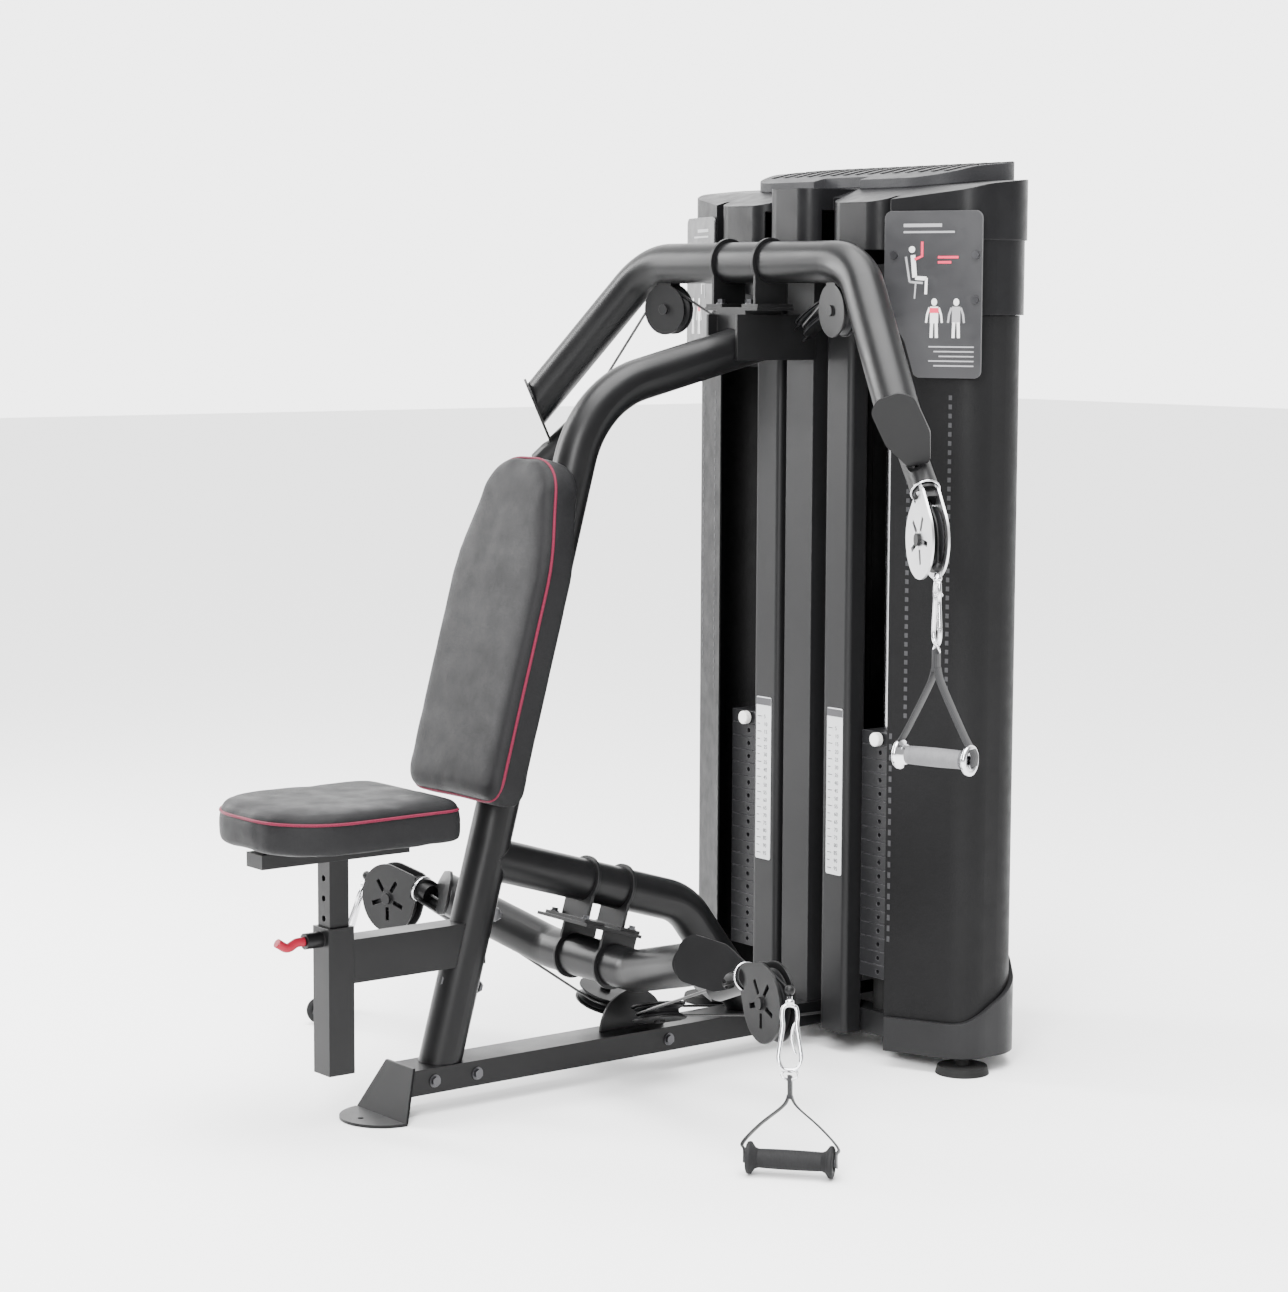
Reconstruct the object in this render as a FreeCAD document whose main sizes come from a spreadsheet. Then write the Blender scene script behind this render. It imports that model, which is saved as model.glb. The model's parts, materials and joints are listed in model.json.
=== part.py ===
"""Dual-stack cable press: a seat and back pad facing away from a two-stack weight tower.

Millimetres. +Z is up, +Y points from the seat to the tower, X = 0 is the plane of symmetry.
The origin is on the floor, at the middle of the machine's footprint.
"""
import FreeCAD, Part
import math
import os
import re
import Sketcher
from FreeCAD import Placement, Rotation, Vector

os.makedirs("parts", exist_ok=True)
doc = FreeCAD.newDocument("CablePress")

# ---------------------------------------------------------------- driving dimensions
DIMENSIONS = {
    # round frame tube and its sheet metal
    "tube_radius": 38.1, "tube_wall": 3.0, "sheet_plate": 5.0, "clamp_plate": 6.0,
    # base beam and front foot
    "beam_width": 82.0, "beam_bottom": 38.0, "beam_top": 83.0, "beam_front": -497.0, "beam_rear": 770.0,
    "beam_wall": 3.0, "foot_front": -587.0, "foot_root": -517.0, "foot_half": 78.0, "foot_neck": 43.5,
    "foot_lean": 40.0, "foot_height": 89.0, "foot_hole": 5.5,
    # column and brace, in the plane of symmetry
    "column_foot": -391.0, "column_lean": 0.2792, "column_corner": 1247.0, "column_end": 330.0,
    "column_rise": 0.2444, "column_bend": 200.0, "brace_start": -292.0, "brace_height": 435.7,
    "brace_slope": 0.3, "brace_corner": 150.0, "brace_foot": 317.0, "brace_bend": 120.0,
    # seat
    "sleeve_y": -610.0, "sleeve_size": 50.8, "sleeve_bore": 39.1, "sleeve_bottom": 94.0,
    "sleeve_top": 350.5, "post_size": 38.1, "post_bottom": 130.0, "post_top": 467.0,
    "post_hole": 5.5, "post_pitch": 35.0, "arm_bottom": 251.0, "arm_height": 76.2,
    "carrier_front": -765.0, "carrier_rear": -470.0, "carrier_height": 25.0,
    "seat_bottom": 497.0, "seat_thick": 78.0, "seat_front": -800.0, "seat_rear": -430.0,
    "seat_half": 168.0, "seat_rear_half": 158.0, "seat_corner": 128.0,
    "lever_height": 330.0, "pin_radius": 6.0, "housing_radius": 14.0, "housing_length": 33.0,
    "grip_radius": 8.0,
    # back pad
    "back_bottom": 516.0, "back_length": 632.0, "back_thick": 78.0, "back_half": 150.0,
    "back_gap": 4.0, "back_shoulder": 435.0,
    # beams
    "upper_y": 303.0, "upper_height": 1487.0, "upper_corner": 297.0, "upper_bend": 130.0,
    "lower_y": -55.0, "lower_height": 222.0, "lower_corner": 130.0, "lower_bend": 90.0,
    "stub_radius": 25.0, "shaft_radius": 18.0, "clamp_half": 60.0, "clamp_ring": 45.0,
    # pulleys and cables
    "cable_radius": 2.5, "end_pitch": 52.0, "end_pulley": 57.0, "guard_radius": 68.0, "guide_pitch": 40.0,
    "lift_pitch": 50.0, "groove_depth": 5.0, "pulley_width": 20.0, "axle_radius": 6.0,
    "fit": 0.05, "cheek_gap": 12.0, "cheek_plate": 4.0, "reach_along": 64.0,
    # handles
    "snap_length": 114.0, "snap_width": 46.0, "snap_wire": 4.0, "handle_grip": 128.0,
    "handle_radius": 15.0, "flange_radius": 27.0, "flange_thick": 8.0, "strap_width": 25.0,
    "strap_thick": 3.0, "snap_gap": 21.0, "upper_stop": 36.0, "upper_reach": 325.0,
    "upper_slant": 0.0, "lower_stop": 52.7, "lower_slant": 75.2, "lower_lean": 18.8, "lower_reach": 275.7,
    # tower
    "front_y": 435.0, "post_inner": 65.0, "post_outer": 138.0, "post_depth": 45.0, "post_tall": 1505.0,
    "upright_half": 38.0, "upright_depth": 76.0, "upright_top": 1485.0,
    "bar_bottom": 1290.0, "bar_top": 1330.0, "bar_half": 330.0, "rear_bar_half": 250.0,
    "shroud_side": 245.0, "shroud_width": 400.0, "shroud_turn": 503.0, "shroud_flank": 614.0,
    "shroud_rear": 789.0, "shroud_back": 180.0, "front_round": 60.0, "flank_round": 80.0,
    "rear_round": 110.0, "shroud_wall": 4.0, "shroud_bottom": 60.0, "shroud_top": 1392.5,
    "cap_bottom": 1393.0, "cap_tier": 1528.0, "cap_top": 1637.0, "cap_brow": 1600.0, "nose_top": 1625.0,
    "panel_half": 285.0, "panel_front": 515.0, "panel_rear": 748.0, "panel_top": 1680.0,
    "cover_bottom": 30.0, "cover_front": 92.0, "cover_rear": 190.0,
    # weight stacks
    "stack_x": 192.0, "stack_y": 590.0, "plate_width": 100.0, "plate_depth": 240.0, "plate_thick": 25.0,
    "plate_gap": 1.0, "plate_count": 17.0, "stack_bottom": 151.0, "rod_spread": 75.0, "rod_offset": 28.0,
    "rod_radius": 9.5,
    "stem_radius": 12.5, "knob_radius": 13.0, "float_height": 740.0,
}

sheet = doc.addObject("Spreadsheet::Sheet", "Dims")
for row, (alias, value) in enumerate(DIMENSIONS.items(), start=1):
    sheet.set("A%d" % row, alias)
    sheet.set("B%d" % row, str(value))
    sheet.setAlias("B%d" % row, alias)
doc.recompute()


def dim(alias):
    """A dimension as the sheet holds it."""
    return float(sheet.get(alias))


def bound(expression):
    """Turn 'tube_radius - 3' into an expression on the sheet's cells."""
    return re.sub(r"[a-z_]+", lambda word: "Dims." + word.group() if word.group() in DIMENSIONS
                  else word.group(), str(expression))


NODES = {}


def node(label, piece):
    """Name a finished sub-part; its label is its file's name."""
    piece.Label = label
    NODES[label] = piece
    return piece


# ---------------------------------------------------------------- document helpers
def box(name, corner, size):
    """A Part::Box whose corner and size are expressions on the sheet."""
    piece = doc.addObject("Part::Box", name)
    for prop, value in zip(("Length", "Width", "Height"), size):
        piece.setExpression(prop, bound(value))
    for axis, value in zip("xyz", corner):
        piece.setExpression("Placement.Base." + axis, bound(value))
    return piece


def cylinder(name, base, axis, radius, height):
    """A Part::Cylinder of bound radius and height, standing at base along axis."""
    piece = doc.addObject("Part::Cylinder", name)
    piece.setExpression("Radius", bound(radius))
    piece.setExpression("Height", bound(height))
    piece.Placement = Placement(Vector(*base), Rotation(Vector(0, 0, 1), Vector(*axis)))
    return piece


def cut(name, base, *tools):
    """Part::Cut of base by one tool or by the fusion of several."""
    piece = doc.addObject("Part::Cut", name)
    piece.Base = base
    piece.Tool = tools[0] if len(tools) == 1 else fuse(name + "_tools", *tools)
    return piece


def fuse(name, *pieces):
    """Part::MultiFuse of the given objects."""
    piece = doc.addObject("Part::MultiFuse", name)
    piece.Shapes = list(pieces)
    return piece


def group(name, *pieces):
    """Separate solids of one kind, kept apart in one compound."""
    piece = doc.addObject("Part::Compound", name)
    piece.Links = list(pieces)
    return piece


def shaped(name, shape):
    """A Part::Feature for a form that no primitive or sketch holds."""
    piece = doc.addObject("Part::Feature", name)
    piece.Shape = shape
    return piece


def mirror_shape(shape):
    return shape.mirror(Vector(0, 0, 0), Vector(1, 0, 0))


def origin_plane(body, role):
    return next(item for item in body.Origin.OriginFeatures if item.Role == role)


def sketch_on(body, name, role):
    """A sketch on one of its own body's origin planes."""
    sketch = body.newObject("Sketcher::SketchObject", name)
    sketch.AttachmentSupport = [(origin_plane(body, role), "")]
    sketch.MapMode = "FlatFace"
    return sketch


def bind_circle(sketch, centre, radius, name, construction=False):
    """A circle at a fixed centre whose radius is bound to the sheet."""
    index = sketch.addGeometry(Part.Circle(Vector(centre[0], centre[1], 0), Vector(0, 0, 1), 1.0), construction)
    sketch.addConstraint(Sketcher.Constraint("DistanceX", index, 3, centre[0])) if centre[0] else \
        sketch.addConstraint(Sketcher.Constraint("PointOnObject", index, 3, -2))
    sketch.addConstraint(Sketcher.Constraint("DistanceY", index, 3, centre[1])) if centre[1] else \
        sketch.addConstraint(Sketcher.Constraint("PointOnObject", index, 3, -1))
    number = sketch.addConstraint(Sketcher.Constraint("Radius", index, 1.0))
    sketch.renameConstraint(number, name)
    sketch.setExpression("Constraints." + name, bound(radius))
    return index


def bind_rectangle(sketch, width, height):
    """A rectangle centred on the sketch's origin, both sizes bound to the sheet."""
    corners = [Vector(-1, -1, 0), Vector(1, -1, 0), Vector(1, 1, 0), Vector(-1, 1, 0)]
    first = sketch.GeometryCount
    for index in range(4):
        sketch.addGeometry(Part.LineSegment(corners[index], corners[(index + 1) % 4]), False)
    for index in range(4):
        sketch.addConstraint(Sketcher.Constraint("Coincident", first + index, 2, first + (index + 1) % 4, 1))
    for index, kind in enumerate(("Horizontal", "Vertical", "Horizontal", "Vertical")):
        sketch.addConstraint(Sketcher.Constraint(kind, first + index))
    sketch.addConstraint(Sketcher.Constraint("Symmetric", first, 1, first + 2, 1, -1, 1))
    sides = (("DistanceX", first, "wide", width), ("DistanceY", first + 1, "tall", height))
    for kind, edge, name, size in sides:
        number = sketch.addConstraint(Sketcher.Constraint(kind, edge, 1, edge, 2, 2.0))
        sketch.renameConstraint(number, name)
        sketch.setExpression("Constraints." + name, bound(size))


def outline_sketch(body, name, role, wire):
    """A sketch holding a wire of lines and arcs."""
    sketch = sketch_on(body, name, role)
    for edge in wire.Edges:
        start, end = edge.FirstParameter, edge.LastParameter
        if isinstance(edge.Curve, Part.Circle):
            points = [edge.valueAt(start), edge.valueAt((start + end) / 2), edge.valueAt(end)]
            sketch.addGeometry(Part.Arc(*points), False)
        else:
            sketch.addGeometry(Part.LineSegment(edge.valueAt(start), edge.valueAt(end)), False)
    return sketch


def pad(body, sketch, length, midplane=False):
    feature = body.newObject("PartDesign::Pad", body.Name + "_pad")
    feature.Profile = sketch
    feature.setExpression("Length", bound(length))
    feature.Midplane = midplane
    return feature


# ---------------------------------------------------------------- geometry helpers
def unit(vector):
    result = Vector(vector)
    result.normalize()
    return result


def rounded_wire(points, radii, closed=False):
    """Straight runs joined by tangent arcs at the inner points."""
    points = [Vector(*point) for point in points]
    count = len(points)
    corners = range(count) if closed else range(1, count - 1)
    trims = {}
    for index in corners:
        before = unit(points[index - 1] - points[index])
        after = unit(points[(index + 1) % count] - points[index])
        half = (math.pi - before.getAngle(after)) / 2
        radius = radii[index] if isinstance(radii, (list, tuple)) else radii
        if radius <= 0 or half < 1e-4:
            continue
        reach = radius * math.tan(half)
        middle = points[index] + unit(before + after) * (radius / math.cos(half) - radius)
        trims[index] = (points[index] + before * reach, middle, points[index] + after * reach)
    edges = []
    for index in range(count if closed else count - 1):
        following = (index + 1) % count
        start = trims[index][2] if index in trims else points[index]
        end = trims[following][0] if following in trims else points[following]
        if start.distanceToPoint(end) > 1e-6:
            edges.append(Part.LineSegment(start, end).toShape())
        if following in trims:
            edges.append(Part.Arc(*trims[following]).toShape())
    return Part.Wire(edges)


def bend_circle(points, index, radius):
    """Centre and axis of the arc that rounds a route at one of its points."""
    corner = Vector(*points[index])
    before = unit(Vector(*points[index - 1]) - corner)
    after = unit(Vector(*points[index + 1]) - corner)
    half = (math.pi - before.getAngle(after)) / 2
    return corner + unit(before + after) * (radius / math.cos(half)), unit(before.cross(after))


def rod_along(points, bend, radius):
    """A solid round bar along a rounded route."""
    path = rounded_wire(points, bend)
    start = path.Edges[0]
    tangent = unit(start.tangentAt(start.FirstParameter))
    section = Part.Wire([Part.makeCircle(radius, Vector(*points[0]), tangent)])
    return path.makePipeShell([section], True, False)


def bent_tube(points, bend, radius, wall):
    """A hollow round tube along a rounded route."""
    return rod_along(points, bend, radius).cut(rod_along(points, bend, radius - wall))


def prism(points, radii, extrusion):
    """An outline with rounded corners, extruded."""
    return Part.Face(rounded_wire(points, radii, closed=True)).extrude(extrusion)


def slab(centre, along, across, size):
    """A box centred at a point: size runs along, across and along their normal."""
    along, across = unit(along), unit(across)
    normal = along.cross(across)
    solid = Part.makeBox(*size, Vector(*(-0.5 * value for value in size)))
    matrix = FreeCAD.Matrix(along.x, across.x, normal.x, centre.x, along.y, across.y, normal.y, centre.y,
                            along.z, across.z, normal.z, centre.z, 0, 0, 0, 1)
    solid.transformShape(matrix)
    return solid


def turned(shape, origin, along, up):
    """A shape drawn in (along, sideways, up) axes, placed in the machine's axes."""
    along, up = unit(along), unit(up)
    side = up.cross(along)
    moved = shape.copy()
    moved.Placement = Placement(origin, Rotation(along, side, up, "XZY"))
    return moved


tube = dim("tube_radius")
beam_top = dim("beam_top")
front_y = dim("front_y")

# ---------------------------------------------------------------- column and brace
lean, rise = dim("column_lean"), dim("column_rise")
column_foot = Vector(0, dim("column_foot"), beam_top)
column_corner = Vector(0, dim("column_foot") + lean * (dim("column_corner") - beam_top), dim("column_corner"))
column_end = Vector(0, dim("column_end"), column_corner.z + rise * (dim("column_end") - column_corner.y))
column_up = unit(column_corner - column_foot)
column_root = column_foot - column_up * 30
column_route = [column_root, column_corner, column_end]
column_bar = rod_along(column_route, dim("column_bend"), tube)
below_beam_top = Part.makeBox(300, 300, 100, Vector(-150, dim("column_foot") - 150, beam_top - 100))
column_shell = bent_tube(column_route, dim("column_bend"), tube, dim("tube_wall"))
node("column_tube", shaped("column", column_shell.cut(below_beam_top)))


def column_at(height):
    """A point on the column's straight lower axis."""
    return Vector(0, dim("column_foot") + lean * (height - beam_top), height)


slope = dim("brace_slope")
brace_start = Vector(0, dim("brace_start"), dim("brace_height"))
brace_corner = Vector(0, dim("brace_corner"), brace_start.z - slope * (dim("brace_corner") - brace_start.y))
brace_foot = Vector(0, dim("brace_foot"), beam_top)
brace_end = brace_foot + unit(brace_foot - brace_corner) * 40
brace_route = [brace_start, brace_corner, brace_end]
brace_bar = rod_along(brace_route, dim("brace_bend"), tube)
under_brace = Part.makeBox(300, 300, 100, Vector(-150, dim("brace_foot") - 150, beam_top - 100))
brace_shell = bent_tube(brace_route, dim("brace_bend"), tube, dim("tube_wall"))
node("brace_tube", shaped("brace", brace_shell.cut(under_brace).cut(column_bar)))

# ---------------------------------------------------------------- base beam and front foot
foot_slope = dim("foot_lean") / dim("foot_height")
beam_shell = cut("base_beam_shell",
                 box("beam_outer", ("-beam_width / 2", "beam_front - 20", "beam_bottom"),
                     ("beam_width", "beam_rear - beam_front + 20", "beam_top - beam_bottom")),
                 box("beam_hollow", ("beam_wall - beam_width / 2", "beam_front - 30", "beam_bottom + beam_wall"),
                     ("beam_width - 2 * beam_wall", "beam_rear - beam_front + 40",
                      "beam_top - beam_bottom - 2 * beam_wall")))
foot_thick = dim("sheet_plate")


def foot_plane(height):
    """Where the leaning foot plate's front face stands at a height."""
    return dim("foot_root") + foot_slope * height


wedge = Part.makePolygon([Vector(-100, foot_plane(-20) - 60, -20), Vector(-100, foot_plane(-20) + foot_thick, -20),
                          Vector(-100, foot_plane(120) + foot_thick, 120), Vector(-100, foot_plane(120) - 60, 120),
                          Vector(-100, foot_plane(-20) - 60, -20)])
foot_side = shaped("foot_side", Part.Face(wedge).extrude(Vector(200, 0, 0)))
node("base_beam", cut("base_beam_cut", beam_shell, foot_side))


def front_foot():
    """A bent plate: a half-oval sole on the floor and a tapering upright on the beam's end."""
    half, neck, height = dim("foot_half"), dim("foot_neck"), dim("foot_height")
    root, tip = dim("foot_root"), dim("foot_front")
    oval = Part.Arc(Vector(half, root, 0), Vector(0, tip, 0), Vector(-half, root, 0)).toShape()
    back = Part.LineSegment(Vector(-half, root, 0), Vector(half, root, 0)).toShape()
    sole = Part.Face(Part.Wire([oval, back])).extrude(Vector(0, 0, foot_thick))
    hole = Part.makeCylinder(dim("foot_hole"), foot_thick, Vector(0, (root + tip) / 2 - 5, 0))
    upright = Part.makePolygon([Vector(-half, foot_plane(0), 0), Vector(half, foot_plane(0), 0),
                                Vector(half, foot_plane(foot_thick), foot_thick),
                                Vector(neck, foot_plane(height), height),
                                Vector(-neck, foot_plane(height), height),
                                Vector(-half, foot_plane(foot_thick), foot_thick),
                                Vector(-half, foot_plane(0), 0)])
    wall = Part.Face(upright).extrude(Vector(0, foot_thick, 0))
    return sole.fuse(wall).cut(hole)


node("front_foot", shaped("foot", front_foot()))

# ---------------------------------------------------------------- seat arm, sleeve and lever housing
sleeve = cut("sleeve",
             box("sleeve_outer", ("-sleeve_size / 2", "sleeve_y - sleeve_size / 2", "sleeve_bottom"),
                 ("sleeve_size", "sleeve_size", "sleeve_top - sleeve_bottom")),
             box("sleeve_hollow", ("-sleeve_bore / 2", "sleeve_y - sleeve_bore / 2", "sleeve_bottom"),
                 ("sleeve_bore", "sleeve_bore", "sleeve_top - sleeve_bottom")),
             cylinder("sleeve_pin_bore", (0, dim("sleeve_y"), dim("lever_height")), (0, -1, 0),
                      "pin_radius + fit", "sleeve_size"))
arm_cope = shaped("arm_cope", column_bar)
seat_arm = cut("seat_arm_tube",
               box("arm_outer", ("-sleeve_size / 2", "sleeve_y + sleeve_size / 2", "arm_bottom"),
                   ("sleeve_size", "column_foot + 80 - sleeve_y - sleeve_size / 2", "arm_height")),
               box("arm_hollow", ("tube_wall - sleeve_size / 2", "sleeve_y + sleeve_size / 2",
                                  "arm_bottom + tube_wall"),
                   ("sleeve_size - 2 * tube_wall", "column_foot + 90 - sleeve_y",
                    "arm_height - 2 * tube_wall")),
               arm_cope)
housing = cut("lever_housing",
              cylinder("housing_outer", (0, dim("sleeve_y") - dim("sleeve_size") / 2, dim("lever_height")),
                       (0, -1, 0), "housing_radius", "housing_length"),
              cylinder("housing_bore", (0, dim("sleeve_y"), dim("lever_height")), (0, -1, 0),
                       "pin_radius + fit", "sleeve_size + housing_length"))
node("seat_arm", group("seat_arm_group", sleeve, seat_arm, housing))

# ---------------------------------------------------------------- seat carrier: post, rail and their holes
post_body = doc.addObject("PartDesign::Body", "seat_post_body")
post_section = sketch_on(post_body, "post_section", "XY_Plane")
bind_rectangle(post_section, "post_size", "post_size")
post_pad = pad(post_body, post_section, "post_top - post_bottom")
doc.recompute()
hole_sketch = sketch_on(post_body, "post_hole_sketch", "XZ_Plane")
first_hole = dim("lever_height") - dim("post_bottom") - 3 * dim("post_pitch")
bind_circle(hole_sketch, (0, first_hole), "post_hole", "hole_radius")
hole_pocket = post_body.newObject("PartDesign::Pocket", "post_holes")
hole_pocket.Profile = hole_sketch
hole_pocket.Type = 1
hole_pocket.Reversed = False
hole_pocket.Midplane = True
hole_pattern = post_body.newObject("PartDesign::LinearPattern", "post_hole_row")
hole_pattern.Originals = [hole_pocket]
hole_pattern.Direction = (hole_sketch, ["V_Axis"])
hole_pattern.Length = 6 * dim("post_pitch")
hole_pattern.Occurrences = 7
post_body.Tip = hole_pattern
post_body.Placement = Placement(Vector(0, dim("sleeve_y"), dim("post_bottom")), Rotation())
rail = box("seat_rail", ("-sleeve_size / 2", "carrier_front", "post_top"),
           ("sleeve_size", "carrier_rear - carrier_front", "carrier_height"))
rail_plate = box("seat_rail_plate", ("-95", "sleeve_y - 90", "post_top + carrier_height"),
                 ("190", "180", "seat_bottom - post_top - carrier_height - 0.5"))
node("seat_carrier", group("seat_carrier_group", post_body, rail, rail_plate))

# ---------------------------------------------------------------- seat pin: spring plunger with a wavy grip
pin_front = dim("sleeve_y") - dim("sleeve_size") / 2 - dim("housing_length")
pin_nose = dim("sleeve_y") - dim("post_size") / 2 - 0.6
lever_z = dim("lever_height")
plunger = Part.makeCylinder(dim("pin_radius"), pin_nose - pin_front + 6, Vector(0, pin_nose, lever_z),
                            Vector(0, -1, 0))
grip_route = [(0, pin_front - 1, lever_z), (0, pin_front - 16, lever_z), (0, pin_front - 34, lever_z - 9),
              (0, pin_front - 54, lever_z + 4)]
wavy_grip = rod_along(grip_route, 14, dim("grip_radius")).cut(plunger)
node("seat_pin", shaped("seat_pin_shape", Part.makeCompound([plunger, wavy_grip])))

# ---------------------------------------------------------------- pads
def seat_outline():
    """Half-round at the front, nearly straight sides, shallow corners at the rear."""
    front, rear = dim("seat_front"), dim("seat_rear")
    half, rear_half, corner = dim("seat_half"), dim("seat_rear_half"), dim("seat_corner")
    points = [(-half, front, 0), (half, front, 0), (half, front + 190, 0), (rear_half, rear, 0),
              (-rear_half, rear, 0), (-half, front + 190, 0)]
    return rounded_wire(points, [corner, corner, 260, 28, 28, 260], closed=True)


def padded(name, wire, thick, edge):
    """A plain cushion: an outline padded to its thickness, its rims rounded."""
    body = doc.addObject("PartDesign::Body", name)
    outline_pad = pad(body, outline_sketch(body, name + "_outline", "XY_Plane", wire), thick)
    doc.recompute()
    rims = body.newObject("PartDesign::Fillet", name + "_rims")
    flat = [index for index, face in enumerate(outline_pad.Shape.Faces, start=1)
            if abs(face.normalAt(0, 0).z) > 0.99]
    rims.Base = (outline_pad, ["Face%d" % index for index in flat])
    rims.Radius = edge
    body.Tip = rims
    return body


seat_pad = padded("seat_pad_body", seat_outline(), "seat_thick", 14)
seat_pad.Placement = Placement(Vector(0, 0, dim("seat_bottom")), Rotation())
node("seat_pad", seat_pad)


def back_outline():
    """Straight up to the shoulders, then drawn in to a rounded head; y runs up the pad."""
    half, length, shoulder = dim("back_half"), dim("back_length"), dim("back_shoulder")
    points = [(-half + 6, 0, 0), (half - 6, 0, 0), (half, shoulder, 0), (half - 62, length, 0),
              (-half + 62, length, 0), (-half, shoulder, 0)]
    return rounded_wire(points, [34, 34, 330, 82, 82, 330], closed=True)


back_pad = padded("back_pad_body", back_outline(), "back_thick", 16)
pad_normal = Vector(0, -column_up.z, column_up.y)
back_origin = column_at(dim("back_bottom")) + pad_normal * (tube + dim("back_gap"))
back_pad.Placement = Placement(back_origin, Rotation(Vector(1, 0, 0), column_up, pad_normal, "XZY"))
node("back_pad", back_pad)


def back_mount():
    """Two flat saddle plates screwed between the pad's board and the column's front."""
    clear = 0.6
    shapes = []
    for distance in (120, 480):
        centre = column_at(dim("back_bottom")) + column_up * distance
        thick = dim("back_gap") - 2 * clear
        shapes.append(slab(centre + pad_normal * (tube + dim("back_gap") / 2), Vector(1, 0, 0), column_up,
                           (190, 70, thick)))
    return Part.makeCompound(shapes)


node("back_mount", shaped("back_mount_shape", back_mount()))

# ---------------------------------------------------------------- cable routes, right-hand side
upper_swivel = Vector(561, 232, 1094)
upper_axis = unit(Vector(0.698, -0.301, -0.649))
lower_swivel = Vector(496, -99, 281.5)
base_corner = Vector(46, 0, 118)
lower_axis = unit(lower_swivel - base_corner)
stack_x, stack_y = dim("stack_x"), dim("stack_y")
lift = dim("lift_pitch")
rear_cable = stack_y + 3 * lift
LIFT_TOP = 1400.0
SWIVEL_INSET = 30.0
upper_route = [upper_swivel - upper_axis * SWIVEL_INSET, upper_swivel - upper_axis * 88,
               Vector(254.6, 303, 1451),
               Vector(60, 352, 1345), Vector(stack_x, stack_y - lift, 1500),
               Vector(stack_x, stack_y - lift, LIFT_TOP)]
upper_bends = [0, 150, dim("guide_pitch"), dim("guide_pitch"), lift, 0]
lower_route = [Vector(stack_x, stack_y + lift, LIFT_TOP), Vector(stack_x, stack_y + lift, 1500),
               Vector(stack_x, rear_cable, 1500), Vector(stack_x, rear_cable, 58),
               Vector(52, 540, 58), Vector(49, 400, 64), base_corner,
               lower_swivel - lower_axis * SWIVEL_INSET]
lower_bends = [0, lift - 0.01, lift - 0.01, dim("guide_pitch"), 150, 150, dim("guide_pitch"), 0]
cable = dim("cable_radius")


def on_side(side, vector):
    """The right-hand side's point, or its mirror image on the left."""
    return Vector(vector.x * side, vector.y, vector.z)


SIDES = {"right": 1, "left": -1}
cable_runs = [rod_along(route, bends, cable) for route, bends in
              ((upper_route, upper_bends), (lower_route, lower_bends))]
cable_runs += [mirror_shape(run) for run in cable_runs]
node("machine_cables", shaped("machine_cables_shape", Part.makeCompound(cable_runs)))
for side, sign in SIDES.items():
    loop = [Vector(stack_x * sign, stack_y - lift, LIFT_TOP - 0.2),
            Vector(stack_x * sign, stack_y - lift, dim("float_height") - lift),
            Vector(stack_x * sign, stack_y + lift, dim("float_height") - lift),
            Vector(stack_x * sign, stack_y + lift, LIFT_TOP - 0.2)]
    node(side + "_lift_cable", shaped(side + "_lift", rod_along(loop, lift - 0.01, cable)))

# ---------------------------------------------------------------- beams with end plates and swivel stubs
upper_plate = {"at": Vector(531, 200, 1214), "normal": unit(Vector(0.529, -0.755, -0.387)),
               "tip": Vector(0.065, 0.492, -0.871)}
lower_plate = {"at": Vector(392, -112, 290), "normal": unit(Vector(0.43, -0.877, 0.213)),
               "tip": Vector(0.9, 0.4, -0.18)}
PLATE_REACH, PLATE_TIP = 62.0, 24.0


def plate_outline(plate):
    """A closing plate: an oval around the cut tube, drawn out to a blunt tip over the stub."""
    across = unit(plate["tip"].cross(plate["normal"]))
    tip = unit(plate["normal"].cross(across))
    at = plate["at"]
    wide = tube + 4

    def spot(forward, sideways):
        return at + tip * forward + across * sideways

    points = [spot(-tube - 12, -wide * 0.55), spot(-tube + 6, -wide), spot(PLATE_REACH * 0.55, -wide),
              spot(PLATE_REACH + PLATE_TIP, -PLATE_TIP * 0.8), spot(PLATE_REACH + PLATE_TIP, PLATE_TIP * 0.8),
              spot(PLATE_REACH * 0.55, wide), spot(-tube + 6, wide), spot(-tube - 12, wide * 0.55)]
    return points, [24, 22, 26, 12, 12, 26, 22, 24]


def beam(corner_x, y, height, bend, plate, swivel, axis):
    """A bent tube across the machine; each end is cut slantwise, plated, and holds a swivel stub."""
    outward = unit(plate["at"] - Vector(corner_x, y, height))
    end = plate["at"] + outward * 70
    route = [on_side(-1, end), Vector(-corner_x, y, height), Vector(corner_x, y, height), end]
    bar = rod_along(route, bend, tube)
    shell = bent_tube(route, bend, tube, dim("tube_wall"))
    points, radii = plate_outline(plate)
    thick = dim("sheet_plate")
    closing = prism(points, radii, plate["normal"] * thick)
    shadow = prism(points, radii, plate["normal"] * 90)
    beyond = slab(plate["at"] + plate["normal"] * 100, plate["tip"], plate["tip"].cross(plate["normal"]),
                  (400, 400, 200))
    start = swivel - axis * 118
    stub = Part.makeCylinder(dim("stub_radius"), 118, start, axis)
    bore = Part.makeCylinder(dim("shaft_radius") + dim("fit"), 118, start, axis)
    stub = stub.cut(bar.cut(beyond)).cut(shadow).cut(closing).cut(bore)
    stub = max(stub.Solids, key=lambda solid: solid.Volume)
    for tool in (beyond, bore, closing):
        shell = shell.cut(tool).cut(mirror_shape(tool))
    closing = closing.cut(bore)
    return (max(shell.Solids, key=lambda solid: solid.Volume), closing, stub), bar


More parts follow.
